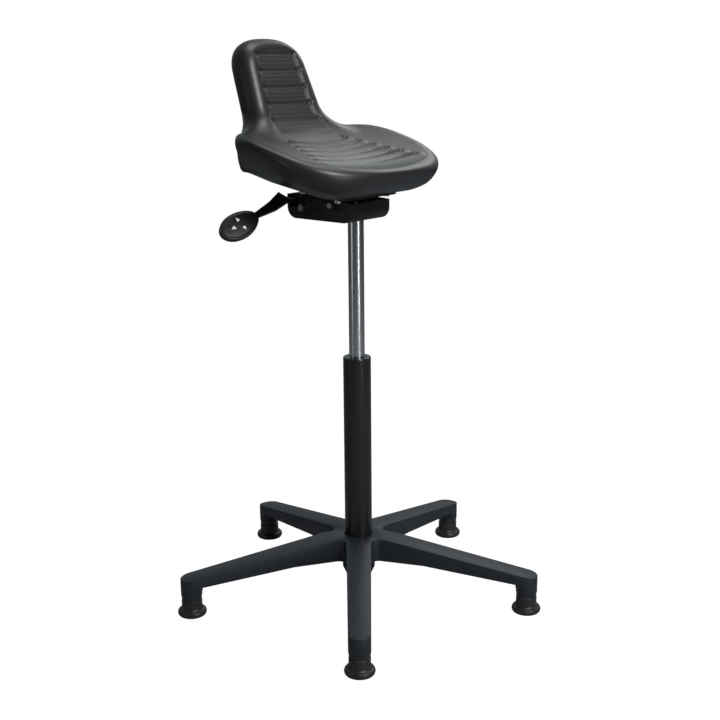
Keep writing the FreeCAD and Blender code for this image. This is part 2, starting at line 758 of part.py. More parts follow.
def build_seat_plate():
    """Steel plate under the seat with two ears that hang inside the tray, slotted for the clamp bolt."""
    body = new_body("seat_plate")
    plan = new_sketch(body, "plate_plan", "XY_Plane")
    draw_loop(plan, [
        ("-Sizes.bolt_across - 11", "Sizes.tray_front - 1"),
        ("Sizes.bolt_across + 11", "Sizes.tray_front - 1"),
        ("Sizes.bolt_across + 11", "80"),
        ("Sizes.bolt_across - 11", "Sizes.tray_rear - 2"),
        ("-Sizes.bolt_across + 11", "Sizes.tray_rear - 2"),
        ("-Sizes.bolt_across - 11", "80"),
    ])
    pad(body, plan, "Sizes.plate_thick")

    def upright(edge, middle):
        return edge.BoundBox.ZLength > 1 and edge.BoundBox.XLength + edge.BoundBox.YLength < 0.1
    fillet(body, 12, upright)
    tilt = in_plate("Sizes.tilt_y", "Sizes.tilt_above_floor")
    clamp = in_plate("Sizes.clamp_y", "Sizes.clamp_above_floor")
    for side in (1, -1):
        inner = "Sizes.tray_half - Sizes.tray_wall - 2.8"
        offset = inner if side > 0 else "-(%s) - 2.5" % inner
        ear = new_sketch(body, "ear_%s" % ("left" if side > 0 else "right"), "YZ_Plane", offset)
        draw_loop(ear, [
            (tilt[0] + " - 10", "1"),
            (tilt[0] + " - 10", tilt[1] + " - 5"),
            (tilt[0] + " - 4", tilt[1] + " - 10"),
            (tilt[0] + " + 6", tilt[1] + " - 10"),
            (clamp[0] + " - 10", clamp[1] + " - 9.3"),
            (clamp[0] + " + 4.5", clamp[1] + " - 9.3"),
            (clamp[0] + " + 8.5", clamp[1] + " - 4"),
            (clamp[0] + " + 8.5", "1"),
        ])
        pad(body, ear, "2.5")
    pivots = new_sketch(body, "ear_pivots", "YZ_Plane")
    draw_circle(pivots, tilt[0], tilt[1], "4.08")
    pocket(body, pivots, "Sizes.tray_half * 2", symmetric=True)
    low_end = (clamp[0] + " - 0.96", clamp[1] + " - 3.3")
    high_end = (clamp[0] + " + 1.24", clamp[1] + " + 5.6")
    for name, end in (("low", low_end), ("high", high_end)):
        hole = new_sketch(body, "slot_" + name, "YZ_Plane")
        draw_circle(hole, end[0], end[1], "3.6")
        pocket(body, hole, "Sizes.tray_half * 2", symmetric=True)
    middle = new_sketch(body, "slot_middle", "YZ_Plane")
    draw_loop(middle, [
        (low_end[0] + " - 3.5", low_end[1] + " + 0.8"),
        (low_end[0] + " + 3.5", low_end[1] + " - 0.8"),
        (high_end[0] + " + 3.5", high_end[1] + " - 0.8"),
        (high_end[0] + " - 3.5", high_end[1] + " + 0.8"),
    ])
    pocket(body, middle, "Sizes.tray_half * 2", symmetric=True)
    holes = new_sketch(body, "bolt_holes", "XY_Plane", "-1")
    for _, across, along in bolt_spots():
        draw_circle(holes, across, along, "4.2")
    pocket(body, holes, "Sizes.plate_thick + 2", reverse=True)
    return put_on_plate(body)


def build_seat_fasteners():
    """Bolts, washers and threaded sleeves that hold the seat to its plate."""
    bolts = []
    washers = []
    sleeves = []
    for index, (_, across, along) in enumerate(bolt_spots()):
        shank = cylinder("seat_shank_%d" % index, "4", "Sizes.plate_thick + 8", (across, along, "-1.6"))
        head = cylinder("seat_head_%d" % index, "6.5", "5", (across, along, "-6.6"))
        bolt = doc.addObject("Part::Fuse", "seat_bolt_%d" % index)
        bolt.Base = shank
        bolt.Tool = head
        bolts.append(bolt)
        disc = cylinder("washer_disc_%d" % index, "8", "1.6", (across, along, "-1.6"))
        hole = cylinder("washer_hole_%d" % index, "4.1", "4", (across, along, "-3"))
        washer = doc.addObject("Part::Cut", "seat_washer_%d" % index)
        washer.Base = disc
        washer.Tool = hole
        washers.append(washer)
        outer = cylinder("sleeve_outer_%d" % index, "5.5", "7", (across, along, "Sizes.plate_thick"))
        thread = cylinder("sleeve_thread_%d" % index, "4.05", "9", (across, along, "Sizes.plate_thick - 1"))
        sleeve = doc.addObject("Part::Cut", "seat_sleeve_%d" % index)
        sleeve.Base = outer
        sleeve.Tool = thread
        sleeves.append(sleeve)
    for label, members in (("seat_bolts", bolts), ("seat_washers", washers), ("threaded_sleeves", sleeves)):
        put_on_plate(group(label, members))


def build_seat_insert():
    """Board moulded into the seat's underside, holed for the threaded sleeves."""
    body = new_body("seat_insert")
    plan = new_sketch(body, "insert_plan", "XY_Plane", "Sizes.plate_thick")
    draw_loop(plan, insert_outline())
    for _, across, along in bolt_spots():
        draw_circle(plan, across, along, "5.55")
    pad(body, plan, "8")
    return put_on_plate(body)


def insert_outline():
    return [
        ("-Sizes.bolt_across - 22", "Sizes.tray_front + 5"),
        ("Sizes.bolt_across + 22", "Sizes.tray_front + 5"),
        ("Sizes.bolt_across + 22", "Sizes.tray_rear"),
        ("-Sizes.bolt_across - 22", "Sizes.tray_rear"),
    ]


# Seat


def ring_of_arcs(point_at, count=8):
    """Closed wire of arcs through the points that a function gives for angles round a section."""
    step = 2 * math.pi / count
    arcs = []
    for index in range(count):
        start = point_at(index * step)
        middle = point_at((index + 0.5) * step)
        end = point_at(((index + 1) % count) * step)
        arcs.append(Part.Arc(start, middle, end).toShape())
    return Part.Wire(arcs)


def pan_heights(x, y):
    """Heights of the pan's middle surface and half its thickness at a place, before its edge is rounded."""
    base = size("tray_floor") + size("plate_above_floor")
    side = abs(x) / size("seat_half")
    front = max(0.0, -20 - y) / 60
    top = base + size("seat_top_above_plate") + y * math.tan(math.radians(size("seat_pitch")))
    rear = max(0.0, y) / (size("seat_middle") + size("seat_depth") / 2)
    top += size("seat_dish") * side ** 2 * (1 + 0.95 * rear ** 2) - 4 * front ** 2
    bottom = base + size("plate_thick") - 0.5 + y * math.tan(math.radians(size("plate_pitch")))
    bottom += size("seat_dish") * 0.65 * max(0.0, (side - 0.42) / 0.58) ** 2 + 11 * front ** 2
    bottom -= 9 * side ** 2 * rear
    return (top + bottom) / 2, (top - bottom) / 2


def pan_point(station, angle):
    """Point on the pan's skin: the station runs front to rear from -1 to 1, the angle round the section."""
    outline = 3.0
    roundness = 2.6
    reach = (1 - abs(station) ** outline) ** (1 / outline)
    across = math.copysign(abs(math.cos(angle)) ** 0.8, math.cos(angle)) * reach
    x = size("seat_half") * across
    y = size("seat_middle") + size("seat_depth") / 2 * station
    middle, half = pan_heights(x, y)
    edge = min(1.0, (abs(across) ** outline + abs(station) ** outline) ** (1 / outline))
    side = math.copysign(1, math.sin(angle)) if abs(math.sin(angle)) > 1e-9 else 0
    return V(x, y, middle + side * half * (1 - edge ** roundness) ** (1 / roundness))


def build_pan():
    """Dished seat pan, lofted front to rear."""
    stations = (-0.985, -0.93, -0.82, -0.6, -0.3, 0, 0.3, 0.6, 0.82, 0.93, 0.985)
    wires = [ring_of_arcs(lambda angle, at=station: pan_point(at, angle), 12) for station in stations]
    return Part.makeLoft(wires, True)


def back_place(height, depth, x, rise=0.0):
    """Point in the leaning frame of the back: height along it, depth square to it, and sideways.

    The rise tips a level section, so that its rear is higher than its front.
    """
    base = size("tray_floor") + size("plate_above_floor")
    lean = math.radians(size("back_lean"))
    foot_y = size("seat_middle") + size("seat_depth") / 2 - 20
    foot_z = base + size("seat_top_above_plate") + 15
    forward = 4 * (x / 80) ** 2
    reach = depth - forward
    height += rise * reach
    y = foot_y + height * math.sin(lean) + reach * math.cos(lean)
    return V(x, y, foot_z + height * math.cos(lean) - reach * math.sin(lean))


def back_section(fraction):
    """Half width of the back at a fraction of its height, and its depths in front and behind."""
    crown = max(0.0, (fraction - 0.66) / 0.34)
    flare = max(0.0, 1 - max(0.0, fraction) / 0.28) ** 2
    half = size("back_half") * (1 - 0.2 * max(0.0, fraction)) * (1 - crown ** 2.5) ** (1 / 2.5)
    half += size("back_half") * 0.42 * flare
    thick = size("back_thick") / 2 * (1 - crown ** 6) ** (1 / 6)
    return half, thick * (1 + 0.6 * flare), thick * (1 - 0.3 * flare)


def back_point(fraction, angle):
    """Point on the back's skin at a fraction of its height."""
    half, before, behind = back_section(fraction)
    cosine = math.cos(angle)
    sine = math.sin(angle)
    thick = before if sine < 0 else behind
    power = 2.9
    reach = (abs(cosine) ** power + abs(sine) ** power) ** (-1 / power)
    crown = max(0.0, (fraction - 0.66) / 0.34)
    half += 16 * crown ** 2 * (1 - crown ** 4) * max(0.0, sine)
    return back_place(fraction * size("back_height"), thick * reach * sine, half * reach * cosine, 0.14 * crown)


def build_back():
    """Leaning shield-shaped back, flared where it grows out of the pan."""
    stations = (-0.06, 0, 0.08, 0.16, 0.26, 0.42, 0.6, 0.76, 0.88, 0.95, 0.985)
    wires = [ring_of_arcs(lambda angle, at=station: back_point(at, angle)) for station in stations]
    return Part.makeLoft(wires, True)


def channel(points, radius):
    """Round-bottomed channel along a smooth line through some points."""
    curve = Part.BSplineCurve()
    curve.interpolate(points)
    spine = Part.Wire(curve.toShape())
    start = Part.Circle(points[0], curve.tangent(curve.FirstParameter)[0], radius)
    return spine.makePipeShell([Part.Wire(start.toShape())], True, True)


def pan_channels():
    """Six curved channels across the pan, the ends wider apart towards the front."""
    tools = []
    for index in range(6):
        half = 70 + 10.5 * index
        rear = 86 - 24 * index
        sag = 8 - 2 * index
        points = []
        for step in range(-3, 4):
            share = step / 3
            x = half * share
            y = rear - sag * (1 - share ** 2)
            middle, thick = pan_heights(x, y)
            points.append(V(x, y, middle + thick * 0.97 + 2.2 - 1.6 * share ** 2))
        tools.append(channel(points, 3.4))
    return tools


def back_channels():
    """Level channels that part the ribs on the front of the back."""
    tools = []
    for index in range(5):
        fraction = 0.19 + 0.16 * index
        half, before, _ = back_section(fraction)
        points = []
        for step in range(-3, 4):
            across = step / 3 * 0.66
            depth = before * (1 - abs(across) ** 2.9) ** (1 / 2.9) + 1.2
            points.append(back_place(fraction * size("back_height"), -depth, half * across))
        tools.append(channel(points, 3.4))
    return tools


def build_seat_cushion():
    """One-piece moulded seat and back, with its channels, flat underside and the room for its board."""
    pan = build_pan()
    solid = pan.fuse(build_back())
    if len(solid.Solids) != 1 or solid.Volume < pan.Volume * 1.1:
        raise ValueError("the back and the pan have not joined")
    solid = solid.Solids[0]
    for tool in pan_channels() + back_channels():
        solid = solid.cut(tool)
    under = Part.makeBox(600, 600, 60, V(-300, -300, size("plate_thick") - 60))
    spots = [V(value_of(across), value_of(along), size("plate_thick")) for across, along in insert_outline()]
    board = Part.Face(Part.makePolygon(spots + spots[:1])).extrude(V(0, 0, 8))
    frame = FreeCAD.Placement(V(0, 0, size("tray_floor") + size("plate_above_floor")),
                              FreeCAD.Rotation(V(1, 0, 0), size("plate_pitch")))
    for tool in (under, board):
        tool.Placement = frame
        solid = solid.cut(tool)
    solid = max(solid.Solids, key=lambda piece: piece.Volume)
    return feature_of("seat_cushion", solid)


def pieces():
    """The objects that are sub-parts: everything with a shape that no other object takes in."""
    found = []
    for item in doc.Objects:
        solid_kind = item.isDerivedFrom("Part::Feature") and not item.isDerivedFrom("Sketcher::SketchObject")
        inside_body = item.isDerivedFrom("PartDesign::Feature")
        taken = any(other.isDerivedFrom("Part::Feature") and not other.isDerivedFrom("PartDesign::Feature")
                    for other in item.InList)
        if solid_kind and not inside_body and not taken:
            found.append(item)
    return found


def main():
    build_star_base()
    build_glides()
    build_glide_stems()
    build_column_tube()
    build_column_guide()
    build_thrust_bearing()
    build_piston_rod()
    build_gas_spring()
    build_tray()
    build_cone_socket()
    build_side_fasteners()
    build_lever_arm()
    build_lever_grip()
    build_seat_plate()
    build_seat_fasteners()
    build_seat_insert()
    build_seat_cushion()
    doc.recompute()
    for item in doc.Objects:
        if any(state in ("Invalid", "Error") for state in item.State):
            raise ValueError("%s is %s" % (item.Label, item.State))
    os.makedirs("parts", exist_ok=True)
    for item in pieces():
        shape = item.Shape
        if shape.isNull() or not shape.isValid():
            raise ValueError(item.Label + " has no valid shape")
        shape.exportStep("parts/%s.step" % item.Label)
        print("%-18s solids %2d  volume %10.0f" % (item.Label, len(shape.Solids), shape.Volume))


main()
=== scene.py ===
"""Looks of a perch stool: moulded seat, gas-spring column, height lever and five-arm base.

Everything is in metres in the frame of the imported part: the floor is z = 0 under the column,
the seat faces -Y and the lever is on the -X side.
"""

import json
import logging
import math
from collections.abc import Callable
from dataclasses import dataclass, field
from enum import Enum

import bmesh
import bpy
import numpy as np
from mathutils import Matrix, Vector

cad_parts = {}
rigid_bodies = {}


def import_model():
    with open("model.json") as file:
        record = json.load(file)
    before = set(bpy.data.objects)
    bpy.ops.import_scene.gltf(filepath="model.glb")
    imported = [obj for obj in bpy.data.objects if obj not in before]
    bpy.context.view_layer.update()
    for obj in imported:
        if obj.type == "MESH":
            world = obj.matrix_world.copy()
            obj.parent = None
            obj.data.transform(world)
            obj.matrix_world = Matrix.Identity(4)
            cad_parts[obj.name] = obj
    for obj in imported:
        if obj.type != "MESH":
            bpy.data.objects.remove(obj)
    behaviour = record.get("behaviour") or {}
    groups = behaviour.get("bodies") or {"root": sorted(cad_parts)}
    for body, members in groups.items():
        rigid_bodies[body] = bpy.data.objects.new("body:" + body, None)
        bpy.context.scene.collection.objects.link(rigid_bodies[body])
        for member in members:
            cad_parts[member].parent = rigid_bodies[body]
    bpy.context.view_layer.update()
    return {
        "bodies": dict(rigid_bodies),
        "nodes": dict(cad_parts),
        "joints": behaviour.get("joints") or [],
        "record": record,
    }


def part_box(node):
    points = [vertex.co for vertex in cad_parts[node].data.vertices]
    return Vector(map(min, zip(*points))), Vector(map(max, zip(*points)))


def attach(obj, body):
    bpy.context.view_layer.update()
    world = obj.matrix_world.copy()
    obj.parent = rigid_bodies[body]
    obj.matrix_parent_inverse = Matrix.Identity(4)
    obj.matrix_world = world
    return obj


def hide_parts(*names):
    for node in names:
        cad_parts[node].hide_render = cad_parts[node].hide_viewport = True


log = logging.getLogger("perch_stool")
Piece = bpy.types.Object
Node = bpy.types.Node
Socket = bpy.types.NodeSocket
Array = np.ndarray
Pair = tuple[float, float]
Triple = tuple[float, float, float]
MM = 0.001
WELD_GAP = 0.02 * MM
FLAT_ANGLE = 1.0
EASE_ANGLE = 38.0
CRISP_ANGLE = 32.0
NOISE_SPAN = (0.25, 0.75)
EDGE_POWER = 2.2
TINY = 1e-9


# Finishes


class Nodes:
    """A node tree, with short ways to add and join nodes."""

    def __init__(self, tree: bpy.types.NodeTree, output: str) -> None:
        """Empty the tree and give it its output.

        Args:
            tree: the tree of a material or of the world.
            output: type name of the output node.
        """
        self.tree = tree
        self.tree.nodes.clear()
        self.output = self.add(output)
        self.coordinates = self.add("ShaderNodeTexCoord").outputs
        self.place = self.coordinates["Object"]

    def add(self, kind: str, values: dict | None = None, **settings: object) -> Node:
        """Add a node.

        Args:
            kind: the node's type name.
            values: plain values and sources of its inputs, by name or number.
            settings: its attributes.

        Returns:
            The new node.
        """
        node = self.tree.nodes.new(kind)
        for key, value in settings.items():
            setattr(node, key, value)
        for key, value in (values or {}).items():
            if isinstance(value, Socket):
                self.tree.links.new(value, node.inputs[key])
            else:
                node.inputs[key].default_value = value
        return node

    def show(self, shader: Node) -> None:
        """Send a shader to the output."""
        self.tree.links.new(shader.outputs[0], self.output.inputs["Surface"])

    def attribute(self, name: str) -> Socket:
        """Value of a mesh attribute."""
        return self.add("ShaderNodeAttribute", attribute_name=name).outputs["Fac"]

    def stretched(self, scale: Triple) -> Socket:
        """Object coordinates with a factor for each axis."""
        values = {"Vector": self.place, "Scale": scale}
        return self.add("ShaderNodeMapping", values).outputs["Vector"]

    def leaned(self, turn: float) -> Socket:
        """Object coordinates turned about X, in radians."""
        values = {"Vector": self.place, "Angle": turn}
        node = self.add("ShaderNodeVectorRotate", values, rotation_type="X_AXIS")
        return node.outputs["Vector"]

    def noise(self, scale: float, detail: float, where: Socket | None = None) -> Socket:
        """Noise from 0 to 1, in features per metre, on object or other coordinates."""
        values = {"Vector": where or self.place, "Scale": scale, "Detail": detail}
        return self.add("ShaderNodeTexNoise", values).outputs["Fac"]

    def pebbles(self, scale: float, softness: float = 0.7) -> Socket:
        """Distance from the middles of smooth cells, as on moulded skin."""
        values = {"Vector": self.place, "Scale": scale, "Smoothness": softness}
        return self.add("ShaderNodeTexVoronoi", values, feature="SMOOTH_F1").outputs["Distance"]

    def bands(self, scale: float, direction: str, where: Socket) -> Socket:
        """Even sine bands along the X, Y or Z direction of some coordinates."""
        values = {"Vector": where, "Scale": scale}
        return self.add("ShaderNodeTexWave", values, bands_direction=direction).outputs["Fac"]

    def between(self, value: Socket, low: float, high: float,
                span: Pair = NOISE_SPAN) -> Socket:
        """Spread a value between two numbers, reached at the ends of its span."""
        values = {"Value": value, "From Min": span[0], "From Max": span[1],
                  "To Min": low, "To Max": high}
        return self.add("ShaderNodeMapRange", values).outputs["Result"]

    def blend(self, value: Socket, first: Triple, second: Triple) -> Socket:
        """Colour between two.

        Args:
            value: 0 for the first and 1 for the second.
            first: colour at 0.
            second: colour at 1.

        Returns:
            The colour.
        """
        node = self.add("ShaderNodeMix", {"Factor": value}, data_type="RGBA")
        pair = [item for item in node.inputs if item.type == "RGBA"]
        for item, colour in zip(pair, (first, second)):
            item.default_value = (*colour, 1)
        return next(item for item in node.outputs if item.type == "RGBA")

    def compute(self, operation: str, *terms: Socket | float) -> Socket:
        """Result of one operation on values and plain numbers."""
        node = self.add("ShaderNodeMath", dict(enumerate(terms)), operation=operation)
        return node.outputs[0]

    def relief(self, height: Socket, depth: float, strength: float,
               under: Socket | None = None) -> Socket:
        """Bump from a height value.

        Args:
            height: the height.
            depth: the height's real size in metres.
            strength: how much of the bump is taken.
            under: normal of a coarser bump, or None.

        Returns:
            The normal.
        """
        values = {"Height": height, "Distance": depth, "Strength": strength}
        if under is not None:
            values["Normal"] = under
        return self.add("ShaderNodeBump", values).outputs["Normal"]

    def mix(self, share: Socket, first: Node, second: Node) -> Node:
        """Mix of two shaders: a share of 0 is the first and 1 the second."""
        values = {0: share, 1: first.outputs[0], 2: second.outputs[0]}
        return self.add("ShaderNodeMixShader", values)


def new_material(name: str) -> tuple[bpy.types.Material, Nodes]:
    """Empty material and its tree."""
    material = bpy.data.materials.new(name)
    material.use_nodes = True
    return material, Nodes(material.node_tree, "ShaderNodeOutputMaterial")


@dataclass(frozen=True)
class Finish:
    """A surface finish: two close colours, a range of roughness and the relief of its skin."""

    name: str
    colour: Triple
    lighter: Triple
    smooth: float
    rough: float
    metallic: float = 0.0
    specular: float = 0.5
    grain_scale: float = 1500.0
    grain_depth: float = 0.05 * MM
    grain_strength: float = 0.3
    mottle_scale: float = 60.0

    def material(self) -> bpy.types.Material:
        """Build the material.

        Returns:
            The finished material.
        """
        material, nodes = new_material(self.name)
        tint, roughness, normal = self.texture(nodes)
        shader = nodes.add("ShaderNodeBsdfPrincipled", {
            "Base Color": nodes.blend(tint, self.colour, self.lighter),
            "Roughness": roughness,
            "Normal": normal,
            "Metallic": self.metallic,
            "Specular IOR Level": self.specular,
        })
        nodes.show(shader)
        return material

    def mottle(self, nodes: Nodes) -> Socket:
        """Broad patches of the two colours."""
        return nodes.noise(self.mottle_scale, 4.0)

    def grain(self, nodes: Nodes, height: Socket) -> Socket:
        """Normal of the skin's own relief."""
        return nodes.relief(height, self.grain_depth, self.grain_strength)

    def texture(self, nodes: Nodes) -> tuple[Socket, Socket, Socket]:
        """Patterns of the surface.

        Args:
            nodes: the material's tree.

        Returns:
            The value that picks the colour, the roughness and the normal.
        """
        smear = nodes.noise(self.mottle_scale * 3.0, 5.0)
        fine = nodes.noise(self.grain_scale, 2.0)
        roughness = nodes.between(smear, self.smooth, self.rough)
        return self.mottle(nodes), roughness, self.grain(nodes, fine)


@dataclass(frozen=True)
class StreakedFinish(Finish):
    """Drawn metal or a plain board, with fine lines along one axis."""

    stretch: Triple = (1.0, 1.0, 0.02)
    detail: float = 2.0
    tinted: bool = False

    def texture(self, nodes: Nodes) -> tuple[Socket, Socket, Socket]:
        """Patterns of the lines, as Finish.texture gives them."""
        lines = nodes.noise(self.grain_scale, self.detail, nodes.stretched(self.stretch))
        tint = lines if self.tinted else self.mottle(nodes)
        return tint, nodes.between(lines, self.smooth, self.rough), self.grain(nodes, lines)


@dataclass(frozen=True)
class FoamSkin(Finish):
    """Moulded foam skin: fine pebble grain, and a knitted look on the panel of the back."""

    lean: float = math.radians(20.5)
    smear_scale: float = 220.0
    panel_dullness: float = 0.14
    worn_shine: float = -0.06
    fine_scale: float = 2600.0
    fine_depth: float = 0.06 * MM
    fine_strength: float = 0.3
    row_scale: float = 42.0
    stitch_scale: float = 78.0
    knit_depth: float = 0.6 * MM
    knit_strength: float = 0.8

    def texture(self, nodes: Nodes) -> tuple[Socket, Socket, Socket]:
        """Patterns of the foam, as Finish.texture gives them."""
        panel = nodes.attribute("panel")
        smear = nodes.noise(self.smear_scale, 4.0)
        skin = nodes.between(smear, self.smooth, self.rough)
        duller = nodes.compute("MULTIPLY_ADD", panel, self.panel_dullness, skin)
        worn = nodes.attribute("worn")
        roughness = nodes.compute("MULTIPLY_ADD", worn, self.worn_shine, duller)
        pebble = self.grain(nodes, nodes.pebbles(self.grain_scale))
        specks = nodes.noise(self.fine_scale, 2.0)
        fine = nodes.relief(specks, self.fine_depth, self.fine_strength, pebble)
        upright = nodes.leaned(self.lean)
        rows = nodes.bands(self.row_scale, "Z", upright)
        stitches = nodes.bands(self.stitch_scale, "X", upright)
        knit = nodes.compute("MULTIPLY", nodes.compute("MULTIPLY", rows, stitches), panel)
        normal = nodes.relief(knit, self.knit_depth, self.knit_strength, fine)
        return self.mottle(nodes), roughness, normal


class Skin(Enum):
    """The finishes of the stool."""

    CAST_ARM = Finish("cast_arm_black", (0.016, 0.019, 0.025), (0.021, 0.025, 0.032), 0.4, 0.52,
                      specular=0.42, grain_scale=1700.0, grain_depth=0.00008,
                      grain_strength=0.35)
    GLIDE = Finish("glide_black", (0.016, 0.017, 0.019), (0.023, 0.024, 0.026), 0.36, 0.5,
                   grain_scale=900.0, grain_depth=0.00006)
    COLUMN = Finish("column_black", (0.009, 0.010, 0.011), (0.012, 0.013, 0.014), 0.17, 0.24,
                    grain_scale=900.0, grain_depth=0.00001, grain_strength=0.08)
    GUIDE = Finish("guide_black", (0.014, 0.015, 0.015), (0.02, 0.021, 0.021), 0.14, 0.24,
                   specular=0.6, grain_depth=0.00003)
    HOUSING = Finish("housing_black", (0.006, 0.006, 0.007), (0.009, 0.009, 0.01), 0.36, 0.48,
                     specular=0.3, grain_scale=1300.0, grain_depth=0.00006)
    GRIP = Finish("grip_black", (0.009, 0.010, 0.011), (0.014, 0.015, 0.016), 0.3, 0.4,
                  specular=0.4, grain_scale=1000.0, grain_depth=0.00001, grain_strength=0.12)
    RUBBER = Finish("rubber_black", (0.012, 0.012, 0.012), (0.02, 0.02, 0.02), 0.7, 0.85)
    MARK = Finish("mark_white", (0.72, 0.74, 0.75), (0.8, 0.81, 0.82), 0.35, 0.45,
                  grain_depth=0.00002)
    CHROME = StreakedFinish("tube_chrome", (0.60, 0.61, 0.62), (0.66, 0.67, 0.68), 0.2, 0.32,
                            metallic=1.0, grain_scale=2400.0, grain_depth=0.00001,
                            grain_strength=0.15, stretch=(1.0, 1.0, 0.01))
    STEEL = StreakedFinish("plain_steel", (0.42, 0.42, 0.43), (0.52, 0.52, 0.53), 0.26, 0.42,
                           metallic=1.0, grain_scale=1800.0, grain_depth=0.00002,
                           stretch=(0.1, 1.0, 1.0))
    BRASS = StreakedFinish("turned_brass", (0.55, 0.42, 0.2), (0.62, 0.48, 0.25), 0.28, 0.4,
                           metallic=1.0, grain_scale=1800.0, grain_depth=0.00002,
                           stretch=(1.0, 1.0, 8.0))
    FOAM = FoamSkin("foam_skin_black", (0.013, 0.014, 0.0155), (0.019, 0.0205, 0.022), 0.34, 0.44,
                    specular=0.55, grain_scale=820.0, grain_depth=0.00022, grain_strength=0.55,
                    mottle_scale=35.0)
    BOARD = StreakedFinish("birch_board", (0.42, 0.29, 0.17), (0.58, 0.43, 0.28), 0.55, 0.7,
                           grain_scale=260.0, grain_depth=0.0002, grain_strength=0.4,
                           stretch=(0.05, 1.0, 1.0), detail=6.0, tinted=True)


@dataclass
class Wardrobe:
    """Makes each finish's material once, and puts it on objects."""

    made: dict[Skin, bpy.types.Material] = field(default_factory=dict)

    def dress(self, piece: Piece, skin: Skin) -> None:
        """Give a whole piece one finish."""
        if skin not in self.made:
            self.made[skin] = skin.value.material()
        if not piece.material_slots:
            piece.data.materials.append(self.made[skin])
        for holder in piece.material_slots:
            holder.material = self.made[skin]


# Modelling helpers


def deselect() -> None:
    """Deselect every object."""
    bpy.ops.object.select_all(action="DESELECT")


def select_only(piece: Piece) -> None:
    """Make one object the only selected one, and active."""
    deselect()
    piece.select_set(True)
    bpy.context.view_layer.objects.active = piece


def apply_modifier(piece: Piece, name: str) -> None:
    """Apply one modifier by name."""
    select_only(piece)
    bpy.ops.object.modifier_apply(modifier=name)


def smooth(piece: Piece, angle: float = CRISP_ANGLE) -> None:
    """Shade smooth, with edges sharper than an angle in degrees kept crisp."""
    select_only(piece)
    bpy.ops.object.shade_smooth_by_angle(angle=math.radians(angle))


def ease_edges(piece: Piece, width: float, segments: int, angle: float, slide: bool) -> None:
    """Round sharp edges.

    Args:
        piece: the object.
        width: width of the rounding.
        segments: facets across it.
        angle: edges sharper than this, in degrees, are rounded.
        slide: keep to the edges that end at the rounding.
    """
    bevel = piece.modifiers.new("ease", "BEVEL")
    bevel.width = width
    bevel.segments = segments
    bevel.limit_method = "ANGLE"
    bevel.angle_limit = math.radians(angle)
    bevel.use_clamp_overlap = True
    bevel.loop_slide = slide
    apply_modifier(piece, "ease")


def empty_mesh(name: str) -> Piece:
    """New object with an empty mesh at the origin, linked to the scene."""
    piece = bpy.data.objects.new(name, bpy.data.meshes.new(name))
    bpy.context.scene.collection.objects.link(piece)
    return piece


def new_disc(name: str, sides: int, radius: float) -> Piece:
    """Filled circle at the origin, as a start for a piece.

    Args:
        name: the piece's name.
        sides: corners of the circle.
        radius: its radius.

    Returns:
        The circle, which is the active object.
    """
    deselect()
    bpy.ops.mesh.primitive_circle_add(vertices=sides, radius=radius, fill_type="NGON")
    piece = bpy.context.object
    piece.name = name
    piece.data.name = name
    return piece


def start_edit() -> None:
    """Edit the active object with all of it selected."""
    bpy.ops.object.mode_set(mode="EDIT")
    bpy.ops.mesh.select_all(action="SELECT")


def end_edit() -> None:
    """Turn all faces outwards and leave edit mode."""
    bpy.ops.mesh.select_all(action="SELECT")
    bpy.ops.mesh.normals_make_consistent(inside=False)
    bpy.ops.object.mode_set(mode="OBJECT")


def extrude_up(rise: float) -> None:
    """Extrude what is selected straight up."""
    bpy.ops.mesh.extrude_region_move(TRANSFORM_OT_translate={"value": (0, 0, rise)})


def new_slab(name: str, points: list[Pair], low: float,
             rise: float) -> Piece:
    """Slab from a circle that is shaped to an outline and extruded.

    Args:
        name: the piece's name.
        points: corners of the outline.
        low: height of its underside.
        rise: its thickness.

    Returns:
        The slab.
    """
    piece = new_disc(name, len(points), 1.0)
    for point, (x, y) in zip(piece.data.vertices, points):
        point.co = (x, y, low)
    start_edit()
    extrude_up(rise)
    end_edit()
    return piece


def eased_copy(source: Piece, name: str, width: float) -> Piece:
    """Copy of a CAD node with its sharp edges rounded.

    Args:
        source: the CAD node.
        name: name of the copy.
        width: width of the rounding in metres.

    Returns:
        The copy, which isn't riding on a body yet.
    """
    piece = empty_mesh(name)
    piece.data = source.data.copy()
    piece.data.name = name
    piece.data.materials.clear()
    work = bmesh.new()
    work.from_mesh(piece.data)
    bmesh.ops.remove_doubles(work, verts=work.verts, dist=WELD_GAP)
    flat = math.radians(FLAT_ANGLE)
    bmesh.ops.dissolve_limit(work, angle_limit=flat, verts=work.verts, edges=work.edges)
    work.to_mesh(piece.data)
    work.free()
    ease_edges(piece, width, 2, EASE_ANGLE, False)
    smooth(piece)
    return piece


# Shapes as fields: below 0 inside and above 0 outside


def ramp(pair: Pair, share: object) -> object:
    """First number of a pair, plus a share of the second."""
    return pair[0] + pair[1] * share


def soft_step(value: Array) -> Array:
    """Soft step from 0 to 1 as a value goes from 0 to 1."""
    value = np.clip(value, 0, 1)
    return value * value * (3 - 2 * value)


def soft_min(first: Array, second: Array, width: float) -> Array:
    """Smaller of two fields, with a fillet of one width where they meet."""
    blend = np.maximum(width - np.abs(first - second), 0) / width
    return np.minimum(first, second) - blend ** 2 * width / 4


def slopes(shape: Callable[[Array], Array], spots: Array,
           step: float) -> Array:
    """Slope of a field along each axis.

    Args:
        shape: the field.
        spots: an array of points.
        step: how far apart it is read.

    Returns:
        One row of three slopes per point.
    """
    moves = np.eye(3) * step
    return np.stack([(shape(spots + move) - shape(spots - move)) / (2 * step) for move in moves], 1)


